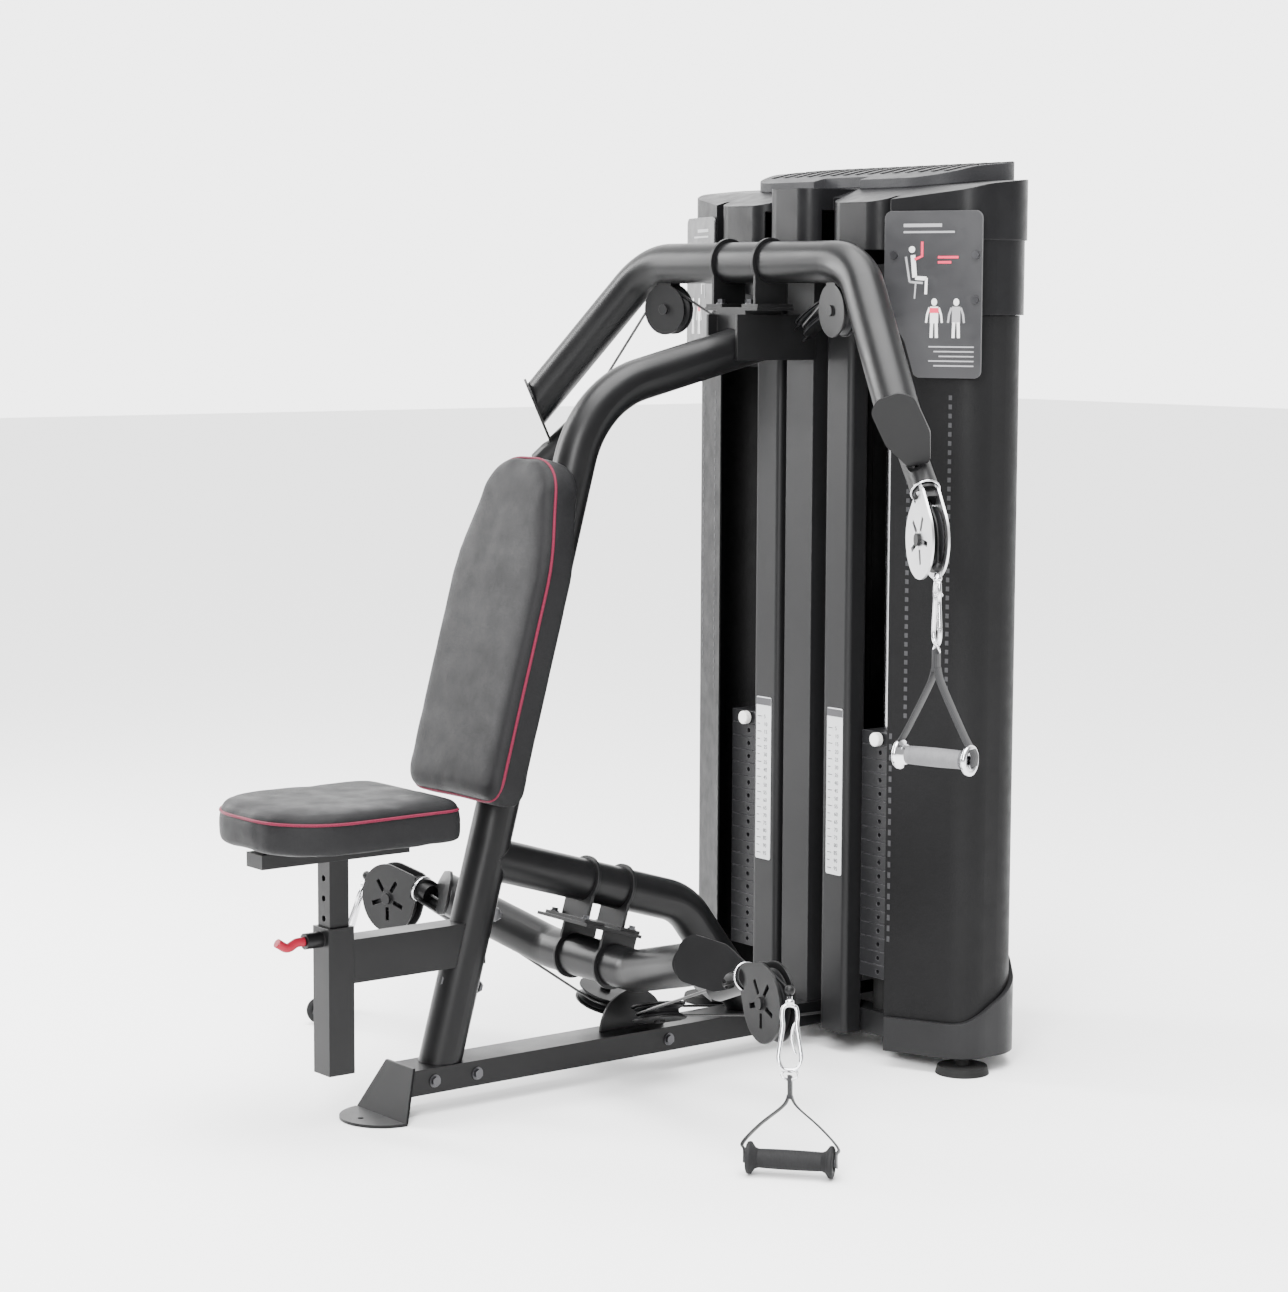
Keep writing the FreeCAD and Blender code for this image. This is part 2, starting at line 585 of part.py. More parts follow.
upper_beam, upper_bar = beam(dim("upper_corner"), dim("upper_y"), dim("upper_height"), dim("upper_bend"),
                             upper_plate, upper_swivel, upper_axis)
lower_beam, lower_bar = beam(dim("lower_corner"), dim("lower_y"), dim("lower_height"), dim("lower_bend"),
                             lower_plate, lower_swivel, lower_axis)
cable_tunnels = [rod_along(route, bends, cable + 3) for route, bends in
                 ((upper_route, upper_bends), (lower_route, lower_bends))]
cable_tunnels += [mirror_shape(tunnel) for tunnel in cable_tunnels]


def drilled(shell, closing, stub):
    """The beam's tube, closing plates and stubs with the cables' ways cut through them."""
    for tunnel in cable_tunnels:
        shell = shell.cut(tunnel)
    for tunnel in cable_tunnels[:2]:
        closing = closing.cut(tunnel)
        stub = stub.cut(tunnel)
    return Part.makeCompound([shell, closing, mirror_shape(closing), stub, mirror_shape(stub)])


node("upper_beam", shaped("upper_beam_shape", drilled(*upper_beam)))
node("lower_beam", shaped("lower_beam_shape", drilled(*lower_beam)))

# ---------------------------------------------------------------- clamps that carry the beams
def ring_clamp(centre, axis, down, reach, flange_along, flange_size):
    """A ring plate around a tube with a leg that ends in a flange."""
    thick, outer = dim("clamp_plate"), dim("clamp_ring")
    ring = Part.makeCylinder(outer, thick, centre - axis * (thick / 2), axis)
    leg = slab(centre + down * (reach / 2), down, axis, (reach, thick, 2 * tube))
    flange = slab(centre + down * (reach + 3) + flange_along, down, axis, (6, flange_size[0], flange_size[1]))
    return ring.fuse(leg).fuse(flange).removeSplitter()


def upper_clamp():
    """Two rings over the crossbar, bolted down to a saddle on the column's end."""
    centre = Vector(0, dim("upper_y"), dim("upper_height"))
    across, down = Vector(1, 0, 0), Vector(0, 0, -1)
    solids = []
    for sign in (-1, 1):
        ring = ring_clamp(centre + across * (sign * dim("clamp_half")), across, down, 76,
                          across * (sign * -8), (46, 84))
        solids.append(ring.cut(upper_bar))
    top = dim("upper_height") - 82
    deck = Part.makeBox(152, 88, 6, Vector(-76, dim("upper_y") - 44, top - 6))
    pedestal = Part.makeBox(84, 88, 46, Vector(-42, dim("upper_y") - 44, top - 52))
    for sign in (-1, 1):
        side = Part.makeBox(6, front_y - 8 - 238, 84, Vector(-3 + sign * 42, 238, 1308))
        pedestal = pedestal.fuse(side)
    solids.append(deck.fuse(pedestal).removeSplitter().cut(column_bar))
    return Part.makeCompound(solids)


node("upper_clamp", shaped("upper_clamp_shape", upper_clamp()))

brace_along = unit(brace_corner - brace_start)
brace_down = unit(Vector(0, brace_along.z, -brace_along.y))
LOWER_FLANGE = 68.0


def lower_clamp():
    """Two rings round the brace bolted to two rings round the lower crossbar."""
    middle = brace_start + brace_along * 268
    solids = []
    for shift in (-42, 42):
        ring = ring_clamp(middle + brace_along * shift, brace_along, brace_down, LOWER_FLANGE,
                          Vector(0, 0, 0), (46, 120))
        solids.append(ring.cut(brace_bar))
    crossbar = Vector(0, dim("lower_y"), dim("lower_height"))
    level = middle + brace_down * (LOWER_FLANGE + 6)
    across = Vector(1, 0, 0)
    plate = slab(level + brace_down * 3 - brace_along * 6, brace_along, across, (130, 150, 6))
    for sign in (-1, 1):
        at = crossbar + across * (sign * dim("clamp_half"))
        ring = Part.makeCylinder(dim("clamp_ring"), 6, at - across * 3, across)
        height = (level - crossbar).dot(brace_down * -1)
        leg = slab(at - brace_down * (height / 2), brace_down, across, (height, 6, 2 * tube))
        plate = plate.fuse(ring).fuse(leg)
    solids.append(plate.removeSplitter().cut(lower_bar))
    return Part.makeCompound(solids)


node("lower_clamp", shaped("lower_clamp_shape", lower_clamp()))

# ---------------------------------------------------------------- room for the frame's pulleys
ROOM_HALF = 17.0


def pulley_room(route, index, pitch):
    """The space a frame pulley and its cheeks need, as a disc."""
    centre, axis = bend_circle(route, index, pitch)
    return Part.makeCylinder(pitch + 14, 2 * ROOM_HALF, centre - axis * ROOM_HALF, axis)


rear_room_at = Vector(stack_x - ROOM_HALF, stack_y + 2 * lift, 1500 - lift)
pulley_rooms = [pulley_room(upper_route, 3, dim("guide_pitch")), pulley_room(upper_route, 4, lift),
                pulley_room(lower_route, 3, dim("guide_pitch")),
                Part.makeCylinder(lift + 14, 2 * ROOM_HALF, rear_room_at, Vector(1, 0, 0))]
pulley_rooms += [mirror_shape(room) for room in pulley_rooms]

# ---------------------------------------------------------------- tower frame
def tower_frame():
    """Centre upright, label posts, rear posts, top bars, cross members and stack trays."""
    top, bottom = dim("beam_top"), dim("beam_bottom")
    half, width, depth = dim("upright_half"), dim("post_outer") - dim("post_inner"), dim("upright_depth")
    solids = [Part.makeBox(2 * half, depth, dim("upright_top") - top, Vector(-half, front_y - 6, top)).cut(
        Part.makeBox(2 * half - 8, depth - 8, dim("upright_top") - top, Vector(-half + 4, front_y - 2, top)))]
    for y, deep, reach in ((480, 52, dim("bar_half")), (647, 60, dim("rear_bar_half"))):
        bar = Part.makeBox(2 * reach, deep, dim("bar_top") - dim("bar_bottom"),
                           Vector(-reach, y, dim("bar_bottom")))
        solids.append(bar.cut(Part.makeBox(2 * half, depth, 200, Vector(-half, front_y - 6, 1200))))
    for sign in (-1, 1):
        corner = [(dim("post_inner"), front_y, bottom), (dim("post_outer"), front_y, bottom),
                  (dim("post_outer"), front_y + dim("post_depth"), bottom),
                  (dim("post_inner"), front_y + dim("post_depth"), bottom)]
        post = prism(corner, [11, 11, 6, 6], Vector(0, 0, dim("post_tall") - bottom))
        inner = Part.makeBox(width - 8, dim("post_depth") - 8, dim("post_tall") - bottom - 8,
                             Vector(dim("post_inner") + 4, front_y + 4, bottom + 4))
        front = Part.makeBox(dim("bar_half") - 41, 50, top - bottom, Vector(41, 480, bottom))
        lug = Part.makeBox(382 - dim("bar_half"), 24, 24, Vector(dim("bar_half"), 506, top - 24))
        rear = Part.makeBox(120, 34, top - bottom, Vector(41, 748, bottom))
        tray = Part.makeBox(82, 166, 15, Vector(stack_x - 32, 530.5, top - 15))
        rear_post = Part.makeBox(36, 34, dim("bar_top") - top, Vector(60, 748, top))
        tie = Part.makeBox(36, 41, 40, Vector(60, 707, dim("bar_top") - 40))
        for solid in (post.cut(inner), front.fuse(lug), rear, tray, rear_post.fuse(tie)):
            solids.append(solid if sign > 0 else mirror_shape(solid))
    frame = []
    for solid in solids:
        for room in cable_tunnels + pulley_rooms:
            if solid.BoundBox.intersect(room.BoundBox):
                solid = solid.cut(room)
        frame.append(max(solid.Solids, key=lambda piece: piece.Volume))
    return Part.makeCompound(frame)


node("tower_frame", shaped("tower_frame_shape", tower_frame()))


# ---------------------------------------------------------------- shrouds, cap, covers
def tower_outline(offset, height):
    """The tower's plan: slanted front corners, short flanks and slanted, rounded rear corners."""
    side, width = dim("shroud_side"), dim("shroud_width")
    half = [(side, front_y + 2, 0), (width, dim("shroud_turn"), dim("front_round")),
            (width, dim("shroud_flank"), dim("flank_round")),
            (dim("shroud_back"), dim("shroud_rear"), dim("rear_round"))]
    points = [(x, y, 0) for x, y, bend in half] + [(-x, y, 0) for x, y, bend in reversed(half)]
    radii = [bend for x, y, bend in half] + [bend for x, y, bend in reversed(half)]
    wire = rounded_wire(points, radii, closed=True)
    if offset:
        wire = wire.makeOffset2D(offset, 2)
    wire.translate(Vector(0, 0, height))
    return wire


def plan_solid(offset, bottom, top):
    return Part.Face(tower_outline(offset, bottom)).extrude(Vector(0, 0, top - bottom))


wall = dim("shroud_wall")
skin = plan_solid(0, dim("shroud_bottom"), dim("shroud_top")).cut(
    plan_solid(-wall, dim("shroud_bottom"), dim("shroud_top")))
flank = Part.makeBox(400, 160, 1500, Vector(dim("shroud_side") + 1, 400, 0)).fuse(
    Part.makeBox(400, 300, 1500, Vector(dim("shroud_back") + 0.5, 560, 0)))
shroud = skin.common(flank).removeSplitter()
node("right_shroud", shaped("right_shroud_shape", shroud))
node("left_shroud", shaped("left_shroud_shape", mirror_shape(shroud)))
rear_window = Part.makeBox(2 * dim("shroud_back"), 100, 1500, Vector(-dim("shroud_back"), 740, 0))
node("rear_panel", shaped("rear_panel_shape", skin.common(rear_window)))


def roof_space(drop):
    """The space over the cap's roof line, which rises from the brow to the flat top."""
    brow, top = dim("cap_brow") - drop, dim("cap_top") - drop
    line = [(-500, 380, brow - 12), (-500, 440, brow + 4), (-500, 520, top - 10), (-500, 620, top),
            (-500, 860, top), (-500, 860, top + 200), (-500, 380, top + 200)]
    return Part.Face(rounded_wire(line, [0, 60, 150, 150, 0, 0, 0], closed=True)).extrude(Vector(1000, 0, 0))


def top_cap():
    """A hollow lid: two tiers over the shrouds, two rounded noses and a taller centre nose in front."""
    lower, tier, top = dim("cap_bottom"), dim("cap_tier"), dim("cap_top")
    side, brow, nose_back = dim("shroud_side"), dim("cap_brow"), 462
    shell = plan_solid(7, lower, tier).fuse(plan_solid(11, tier, top))
    window = Part.makeBox(2 * side + 8, 60, 400, Vector(-side - 4, 400, lower - 10))
    lip = Part.makeBox(2 * side + 16, 80, 500, Vector(-side - 8, 390, lower - 20))
    shell = shell.cut(window).cut(plan_solid(1, lower - 1, top - 45).cut(lip))
    noses = Part.makeBox(2 * side + 8, 20, brow + 20 - 1500, Vector(-side - 4, 452, 1500))
    for sign in (-1, 1):
        nose = prism([(88, 413, 1510), (236, 413, 1510), (236, nose_back, 1510), (88, nose_back, 1510)],
                     [38, 38, 0, 0], Vector(0, 0, brow + 20 - 1510))
        noses = noses.fuse(nose if sign > 0 else mirror_shape(nose))
    centre = prism([(-64, 392, 1489), (64, 392, 1489), (64, 540, 1489), (-64, 540, 1489)], [34, 34, 30, 30],
                   Vector(0, 0, dim("nose_top") - 1489))
    solid = shell.fuse(noses).cut(roof_space(0)).fuse(centre)
    cavity = Part.makeBox(440, 180, 100, Vector(-220, 424, 1485)).cut(
        Part.makeBox(24, 200, 200, Vector(68, 400, 1400))).cut(
        Part.makeBox(24, 200, 200, Vector(-92, 400, 1400)))
    solid = solid.cut(cavity).removeSplitter()
    return max(solid.Solids, key=lambda piece: piece.Volume)


cap_shape = top_cap()
for room in cable_tunnels + pulley_rooms:
    cap_shape = cap_shape.cut(room)
node("top_cap", shaped("top_cap_shape", cap_shape.cut(NODES["tower_frame"].Shape)))


def top_panel():
    """A sloping insert on the roof, thicker towards the back."""
    half, front, rear = dim("panel_half"), dim("panel_front"), dim("panel_rear")
    top, base = dim("panel_top"), dim("cap_top") - 30
    plan = prism([(-half, front, base), (half, front, base), (half, rear, base), (-half, rear, base)],
                 [95, 95, 80, 80], Vector(0, 0, top - base))
    slope = [(-400, front - 20, top - 42), (-400, front + 90, top - 15), (-400, rear + 20, top),
             (-400, rear + 20, top + 60), (-400, front - 20, top + 60)]
    over = Part.Face(rounded_wire(slope, [0, 200, 0, 0, 0], closed=True)).extrude(Vector(800, 0, 0))
    nose_room = Part.makeBox(130, 200, 200, Vector(-65, 342, 1450))
    return plan.cut(over).common(roof_space(-0.3)).cut(nose_room)


node("top_panel", shaped("top_panel_shape", top_panel()))


def base_cover():
    """A moulded skirt round the shroud's foot, its upper edge sweeping up to the back."""
    bottom, low, tall = dim("cover_bottom"), dim("cover_front"), dim("cover_rear")
    skirt = plan_solid(9, bottom, tall).cut(plan_solid(0.3, bottom, tall))
    sweep = Part.Face(rounded_wire([(500, 380, low), (500, 500, low + 3), (500, 600, tall - 44),
                                    (500, 680, tall - 2), (500, 840, tall), (500, 840, tall + 60),
                                    (500, 430, tall + 60), (500, 380, tall + 60)],
                                   [0, 60, 60, 60, 0, 0, 0, 0], closed=True)).extrude(Vector(-600, 0, 0))
    region = Part.makeBox(400, 160, 300, Vector(dim("shroud_side") + 8, 400, 0)).fuse(
        Part.makeBox(400, 400, 300, Vector(dim("shroud_back") - 60, 560, 0)))
    cover = skirt.cut(sweep).common(region)
    return max(cover.Solids, key=lambda piece: piece.Volume)


cover = base_cover()
node("base_covers", shaped("base_covers_shape", Part.makeCompound([cover, mirror_shape(cover)])))

# ---------------------------------------------------------------- feet, rods, bumpers
feet = []
for x, y in ((375, 518), (-375, 518), (135, 765), (-135, 765)):
    pad_disc = Part.makeCone(50, 46, 14, Vector(x, y, 0)) if y == 518 else Part.makeCone(
        30, 27, 14, Vector(x, y - 10, 0))
    stem_top = beam_top - 24 if y == 518 else dim("beam_bottom")
    feet.append(pad_disc.fuse(Part.makeCylinder(12, stem_top - 14, Vector(x, y, 14))))

rods = []
bumpers = []
for sign in (1, -1):
    for end in (-1, 1):
        name = "rod_%s_%s" % ("right" if sign > 0 else "left", "front" if end < 0 else "rear")
        foot = (sign * (stack_x + end * dim("rod_offset")), stack_y + end * dim("rod_spread"), beam_top)
        rods.append(cylinder(name, foot, (0, 0, 1), "rod_radius", "bar_bottom - beam_top"))
        bumpers.append(cut(name + "_bumper",
                           cylinder(name + "_rubber", foot, (0, 0, 1), "rod_radius + 12",
                                    "stack_bottom - beam_top"),
                           cylinder(name + "_bore", foot, (0, 0, 1), "rod_radius + fit",
                                    "stack_bottom - beam_top")))
node("guide_rods", group("guide_rod_group", *rods))
node("rubber_feet_and_bumpers", group("rubber_group", shaped("feet_shape", Part.makeCompound(feet)), *bumpers))

# ---------------------------------------------------------------- weight stacks
plate_body = doc.addObject("PartDesign::Body", "weight_plate")
plate_sketch = sketch_on(plate_body, "plate_section", "XY_Plane")
bind_rectangle(plate_sketch, "plate_width", "plate_depth")
bind_circle(plate_sketch, (0, 0), "stem_radius + 1", "stem_bore")
bind_circle(plate_sketch, (dim("rod_offset"), dim("rod_spread")), "rod_radius + 2 * fit", "rear_rod_bore")
bind_circle(plate_sketch, (-dim("rod_offset"), -dim("rod_spread")), "rod_radius + 2 * fit", "front_rod_bore")
plate_pad = pad(plate_body, plate_sketch, "plate_thick")
doc.recompute()
pin_sketch = sketch_on(plate_body, "pin_section", "XZ_Plane")
bind_circle(pin_sketch, (0, dim("plate_thick") / 2), "4.6", "pin_bore")
pin_pocket = plate_body.newObject("PartDesign::Pocket", "pin_bore_pocket")
pin_pocket.Profile = pin_sketch
pin_pocket.Type = 0
pin_pocket.setExpression("Length", bound("plate_depth / 2 + 5"))
pin_pocket.Reversed = True
plate_body.Tip = pin_pocket
doc.recompute()
if pin_pocket.Shape.Volume >= plate_pad.Shape.Volume - 1:
    raise RuntimeError("the plate's pin bore cuts nothing")


def plate_at(sign, bottom):
    """A plate of one side's stack, its bottom face at a height."""
    copy = plate_body.Shape.copy()
    copy.Placement = Placement(Vector(stack_x, stack_y, bottom), Rotation())
    return copy if sign > 0 else mirror_shape(copy)


plate_pitch = dim("plate_thick") + dim("plate_gap")
plate_count = int(dim("plate_count"))
stack_plates = [plate_at(sign, dim("stack_bottom") + index * plate_pitch)
                for sign in (1, -1) for index in range(plate_count)]
node("weight_plates", shaped("weight_plates_shape", Part.makeCompound(stack_plates)))
head_bottom = dim("stack_bottom") + plate_count * plate_pitch


def stack_head(sign):
    """Top plate, drilled stem below it and the floating pulley's fork above it."""
    x = sign * stack_x
    plate = plate_at(sign, head_bottom)
    foot = dim("stack_bottom") + 15
    stem = Part.makeCylinder(dim("stem_radius"), head_bottom + 25 - foot, Vector(x, stack_y, foot))
    pin_hole = Part.makeCylinder(4.6, 60, Vector(x, stack_y - 40, head_bottom + dim("plate_thick") / 2),
                                 Vector(0, 1, 0))
    bush = Part.makeCylinder(dim("stem_radius") + 1, dim("plate_thick"), Vector(x, stack_y, head_bottom))
    deck_z = head_bottom + dim("plate_thick")
    fork = Part.makeBox(40, 60, 8, Vector(x - 20, stack_y - 30, deck_z))
    for shift in (-dim("cheek_gap") - 4, dim("cheek_gap")):
        cheek = Part.makeBox(4, 50, dim("float_height") + 20 - deck_z, Vector(x + shift, stack_y - 25, deck_z))
        fork = fork.fuse(cheek)
    axle = Part.makeCylinder(dim("axle_radius"), 36, Vector(x - 18, stack_y, dim("float_height")),
                             Vector(1, 0, 0))
    return plate.fuse([bush, stem, fork, axle]).cut(pin_hole).removeSplitter()


def selector_pin(sign):
    """A steel pin with a round knob, pushed through the top plate into the stem."""
    height = head_bottom + dim("plate_thick") / 2
    face = stack_y - dim("plate_depth") / 2
    knob = Part.makeCylinder(dim("knob_radius"), 14, Vector(sign * stack_x, face - 17, height), Vector(0, 1, 0))
    knob = knob.makeFillet(3, [edge for edge in knob.Edges if edge.Closed])
    shaft = Part.makeCylinder(4.5, dim("plate_depth") / 2 + 13, Vector(sign * stack_x, face - 3, height),
                              Vector(0, 1, 0))
    return knob.fuse(shaft)


for side, sign in SIDES.items():
    node(side + "_stack_head", shaped(side + "_head", stack_head(sign)))
    node(side + "_selector_pin", shaped(side + "_pin", selector_pin(sign)))

# ---------------------------------------------------------------- pulleys
def pulley_body(name, pitch, rim):
    """A grooved sheave turned about Z, its groove as deep as the cable needs."""
    body = doc.addObject("PartDesign::Body", name)
    sketch = sketch_on(body, name + "_section", "XZ_Plane")
    half, axle = dim("pulley_width") / 2, dim("axle_radius") + dim("fit")
    floor = pitch - cable - 0.3
    points = [(axle, -half), (rim * 0.42, -half), (rim * 0.48, -half + 3), (rim * 0.8, -half + 3),
              (rim * 0.86, -half), (rim, -half), (rim, -half + 2), (floor, -cable - 0.6), (floor, cable + 0.6),
              (rim, half - 2), (rim, half), (rim * 0.86, half), (rim * 0.8, half - 3), (rim * 0.48, half - 3),
              (rim * 0.42, half), (axle, half)]
    for index, (radius, height) in enumerate(points):
        after = points[(index + 1) % len(points)]
        sketch.addGeometry(Part.LineSegment(Vector(radius, height, 0), Vector(after[0], after[1], 0)), False)
    turned_solid = body.newObject("PartDesign::Revolution", name + "_turned")
    turned_solid.Profile = sketch
    turned_solid.ReferenceAxis = (sketch, ["V_Axis"])
    turned_solid.Angle = 360
    body.Tip = turned_solid
    doc.recompute()
    return body


sheaves = {
    "end": pulley_body("end_sheave", dim("end_pitch"), dim("end_pulley")),
    "guide": pulley_body("guide_sheave", dim("guide_pitch"), dim("guide_pitch") + dim("groove_depth")),
    "lift": pulley_body("lift_sheave", lift, lift + dim("groove_depth")),
}
AXLES = {}


def pulley(label, kind, centre, axis):
    """A sheave placed with its bore on an axle."""
    piece = shaped(label + "_sheave", sheaves[kind].Shape.copy())
    piece.Placement = Placement(centre, Rotation(Vector(0, 0, 1), axis))
    AXLES[label] = (centre, axis, kind)
    return node(label, piece)


def corner_pulley(label, kind, route, index, radius, sign):
    centre, axis = bend_circle([on_side(sign, point) for point in route], index, radius)
    return pulley(label, kind, centre, axis)


for side, sign in SIDES.items():
    corner_pulley(side + "_upper_guide_pulley", "guide", upper_route, 2, dim("guide_pitch"), sign)
    corner_pulley(side + "_column_pulley", "guide", upper_route, 3, dim("guide_pitch"), sign)
    corner_pulley(side + "_front_top_pulley", "lift", upper_route, 4, lift, sign)
    corner_pulley(side + "_tower_foot_pulley", "guide", lower_route, 3, dim("guide_pitch"), sign)
    corner_pulley(side + "_base_pulley", "guide", lower_route, 6, dim("guide_pitch"), sign)
    pulley(side + "_rear_top_pulley", "lift", Vector(sign * stack_x, stack_y + 2 * lift, 1500 - lift),
           Vector(1, 0, 0))
    pulley(side + "_floating_pulley", "lift", Vector(sign * stack_x, stack_y, dim("float_height")),
           Vector(1, 0, 0))


# ---------------------------------------------------------------- swivel brackets, end pulleys and handles
def in_plane(axis):
    """The horizontal direction, and the sideways normal, of the upright plane that holds an axis."""
    level = unit(Vector(axis.x, axis.y, 0))
    return level, Vector(0, 0, 1).cross(level)


def pulley_centre(swivel, axis):
    level, normal = in_plane(axis)
    down = axis.cross(normal) if axis.cross(normal).z < 0 else normal.cross(axis)
    return swivel + axis * dim("reach_along") + down * dim("end_pitch"), down


def guard_plate(swivel, axis, shift):
    """One cheek: a round lobe over the pulley, a neck to the swivel block, five slots in a star."""
    level, normal = in_plane(axis)
    centre, down = pulley_centre(swivel, axis)
    thick, radius = dim("cheek_plate"), dim("guard_radius")
    start = normal * shift
    lobe = Part.makeCylinder(radius, thick, centre + start, normal)
    neck_at = swivel + axis * 18
    neck = Part.makeCylinder(22, thick, neck_at + start, normal)
    towards = centre - neck_at
    run = unit(towards)
    side = normal.cross(run)
    lean_angle = math.asin((radius - 22) / towards.Length)
    tangents = []
    for sign in (1, -1):
        outward = side * (sign * math.cos(lean_angle)) - run * math.sin(lean_angle)
        tangents.append((neck_at + outward * 22, centre + outward * radius))
    web = Part.makePolygon([tangents[0][0], tangents[0][1], tangents[1][1], tangents[1][0], tangents[0][0]])
    web_solid = Part.Face(web).extrude(normal * thick)
    web_solid.translate(start)
    plate = lobe.fuse([neck, web_solid])
    for index in range(5):
        turn = Rotation(normal, 72 * index + 20)
        outward = turn.multVec(down)
        slot = slab(centre + outward * 30 + normal * (shift + thick / 2), outward, normal.cross(outward),
                    (26, 9, thick + 2))
        plate = plate.cut(slot)
    bolt_hole = Part.makeCylinder(dim("axle_radius") + 0.1, thick + 2, centre + start - normal, normal)
    swivel_room = Part.makeCylinder(dim("stub_radius") + 1.5, 100, swivel - axis * 91, axis)
    return plate.cut(bolt_hole).cut(swivel_room).removeSplitter()


def bracket(swivel, axis, stop, slant):
    """Swivel shaft and block, two cheeks, the axle bolt, and the cable's end with its ball stop."""
    level, normal = in_plane(axis)
    centre, down = pulley_centre(swivel, axis)
    gap, thick = dim("cheek_gap"), dim("cheek_plate")
    shaft = Part.makeCylinder(dim("shaft_radius"), 24.6, swivel - axis * 24, axis)
    collar = Part.makeCylinder(22, 8, swivel + axis * 0.6, axis)
    block = slab(swivel + axis * 17 - down * 3, axis, down, (17, 22, 2 * gap))
    bore = Part.makeCylinder(cable + 1.2, 80, swivel - axis * 30, axis)
    swivel_block = shaft.fuse([collar, block]).cut(bore).removeSplitter()
    axle = Part.makeCylinder(dim("axle_radius"), 2 * (gap + thick), centre - normal * (gap + thick), normal)
    for sign in (-1, 1):
        face = centre + normal * (sign * (gap + thick))
        axle = axle.fuse(Part.makeCylinder(11, 6, face, normal * sign))
    leave = level * math.sin(math.radians(slant)) - Vector(0, 0, math.cos(math.radians(slant)))
    reach = dim("end_pitch") * math.tan(axis.getAngle(leave) / 2)
    corner = swivel + axis * (dim("reach_along") + reach)
    exit_point = corner + leave * (reach + stop)
    tail = rod_along([swivel - axis * 24, corner, exit_point], dim("end_pitch"), cable)
    ball = exit_point + leave * 7
    tail = tail.fuse(Part.makeSphere(9, ball, leave))
    pieces = [swivel_block, guard_plate(swivel, axis, gap), guard_plate(swivel, axis, -gap - thick),
              axle.removeSplitter(), tail.removeSplitter()]
    return Part.makeCompound(pieces), ball, centre, normal


def handle(ball, hang, hook_side, grip_centre, grip_along):
    """A snap hook, a webbing yoke and a tube grip with end flanges, hanging from the ball stop."""
    wire, tall = dim("snap_wire"), dim("snap_length")
    top = dim("snap_gap")
    half = dim("snap_width") / 2 - wire
    side = unit(hook_side - hang * hook_side.dot(hang))

    def spot(sideways, along):
        return ball + side * sideways + hang * along

    neck = Part.makeCylinder(5, top - 9.5 + wire, spot(0, 9.5), hang)
    path = rounded_wire([spot(-half * 0.45, top + wire), spot(half * 0.45, top + wire),
                         spot(half, top + tall - wire), spot(-half, top + tall - wire)],
                        [6, 6, half * 0.9, half * 0.9], closed=True)
    start = path.Edges[0]
    section = Part.Wire([Part.makeCircle(wire, start.valueAt(start.FirstParameter),
                                         start.tangentAt(start.FirstParameter))])
    hook = path.makePipeShell([section], True, False).fuse(neck).removeSplitter()
    half_grip, flange = dim("handle_grip") / 2, dim("flange_thick")
    fork = ball + hang * (top + tall + 1)
    across = unit(hang.cross(grip_along))
    thick, width = dim("strap_thick"), dim("strap_width")
    yoke = slab(fork + hang * 13, hang, across, (26, width, 8))
    for sign in (-1, 1):
        upper = fork + hang * 22 + grip_along * (sign * 3)
        lower = grip_centre + grip_along * (sign * (half_grip + flange + 2))
        run = lower - upper
        flat = unit(across - unit(run) * across.dot(unit(run)))
        yoke = yoke.fuse(slab((upper + lower) * 0.5, run, flat, (run.Length, width, thick)))
    reach = half_grip + flange + 4
    core = Part.makeCylinder(9, 2 * reach, grip_centre - grip_along * reach, grip_along)
    grip = Part.makeCylinder(dim("handle_radius"), 2 * half_grip, grip_centre - grip_along * half_grip,
                             grip_along)
    for sign in (-1, 1):
        grip = grip.fuse(Part.makeCylinder(dim("flange_radius"), flange,
                                           grip_centre + grip_along * (sign * half_grip), grip_along * sign))
    return Part.makeCompound([hook, grip.fuse([core, yoke]).removeSplitter()])


LEVELS = {
    "upper": {"swivel": upper_swivel, "axis": upper_axis, "stop": dim("upper_stop"),
              "slant": dim("upper_slant"), "lean": 0.0, "reach": dim("upper_reach"),
              "grip": unit(Vector(0.953, 0.298, 0)), "hook": unit(Vector(0.9, -0.44, 0))},
    "lower": {"swivel": lower_swivel, "axis": lower_axis, "stop": dim("lower_stop"),
              "slant": dim("lower_slant"), "lean": dim("lower_lean"), "reach": dim("lower_reach"),
              "grip": unit(Vector(0.76, 0.65, 0)), "hook": unit(Vector(0.613, 0.79, 0))},
}
LEAN_TOWARD = unit(Vector(0.79, -0.62, 0))
PIVOTS = {}
for level_name, spec in LEVELS.items():
    for side, sign in SIDES.items():
        label = level_name + "_" + side
        at, axis = on_side(sign, spec["swivel"]), on_side(sign, spec["axis"])
        shape, ball, centre, normal = bracket(at, axis, spec["stop"], spec["slant"])
        node(label + "_bracket", shaped(label + "_bracket_shape", shape))
        pulley(label + "_pulley", "end", centre, normal)
        lean = math.radians(spec["lean"])
        hang = on_side(sign, LEAN_TOWARD) * math.sin(lean) - Vector(0, 0, math.cos(lean))
        held = handle(ball, hang, on_side(sign, spec["hook"]), ball + hang * spec["reach"],
                      on_side(sign, spec["grip"]))
        node(label + "_handle", shaped(label + "_handle_shape", held))
        PIVOTS[label] = (at, axis, ball, normal)


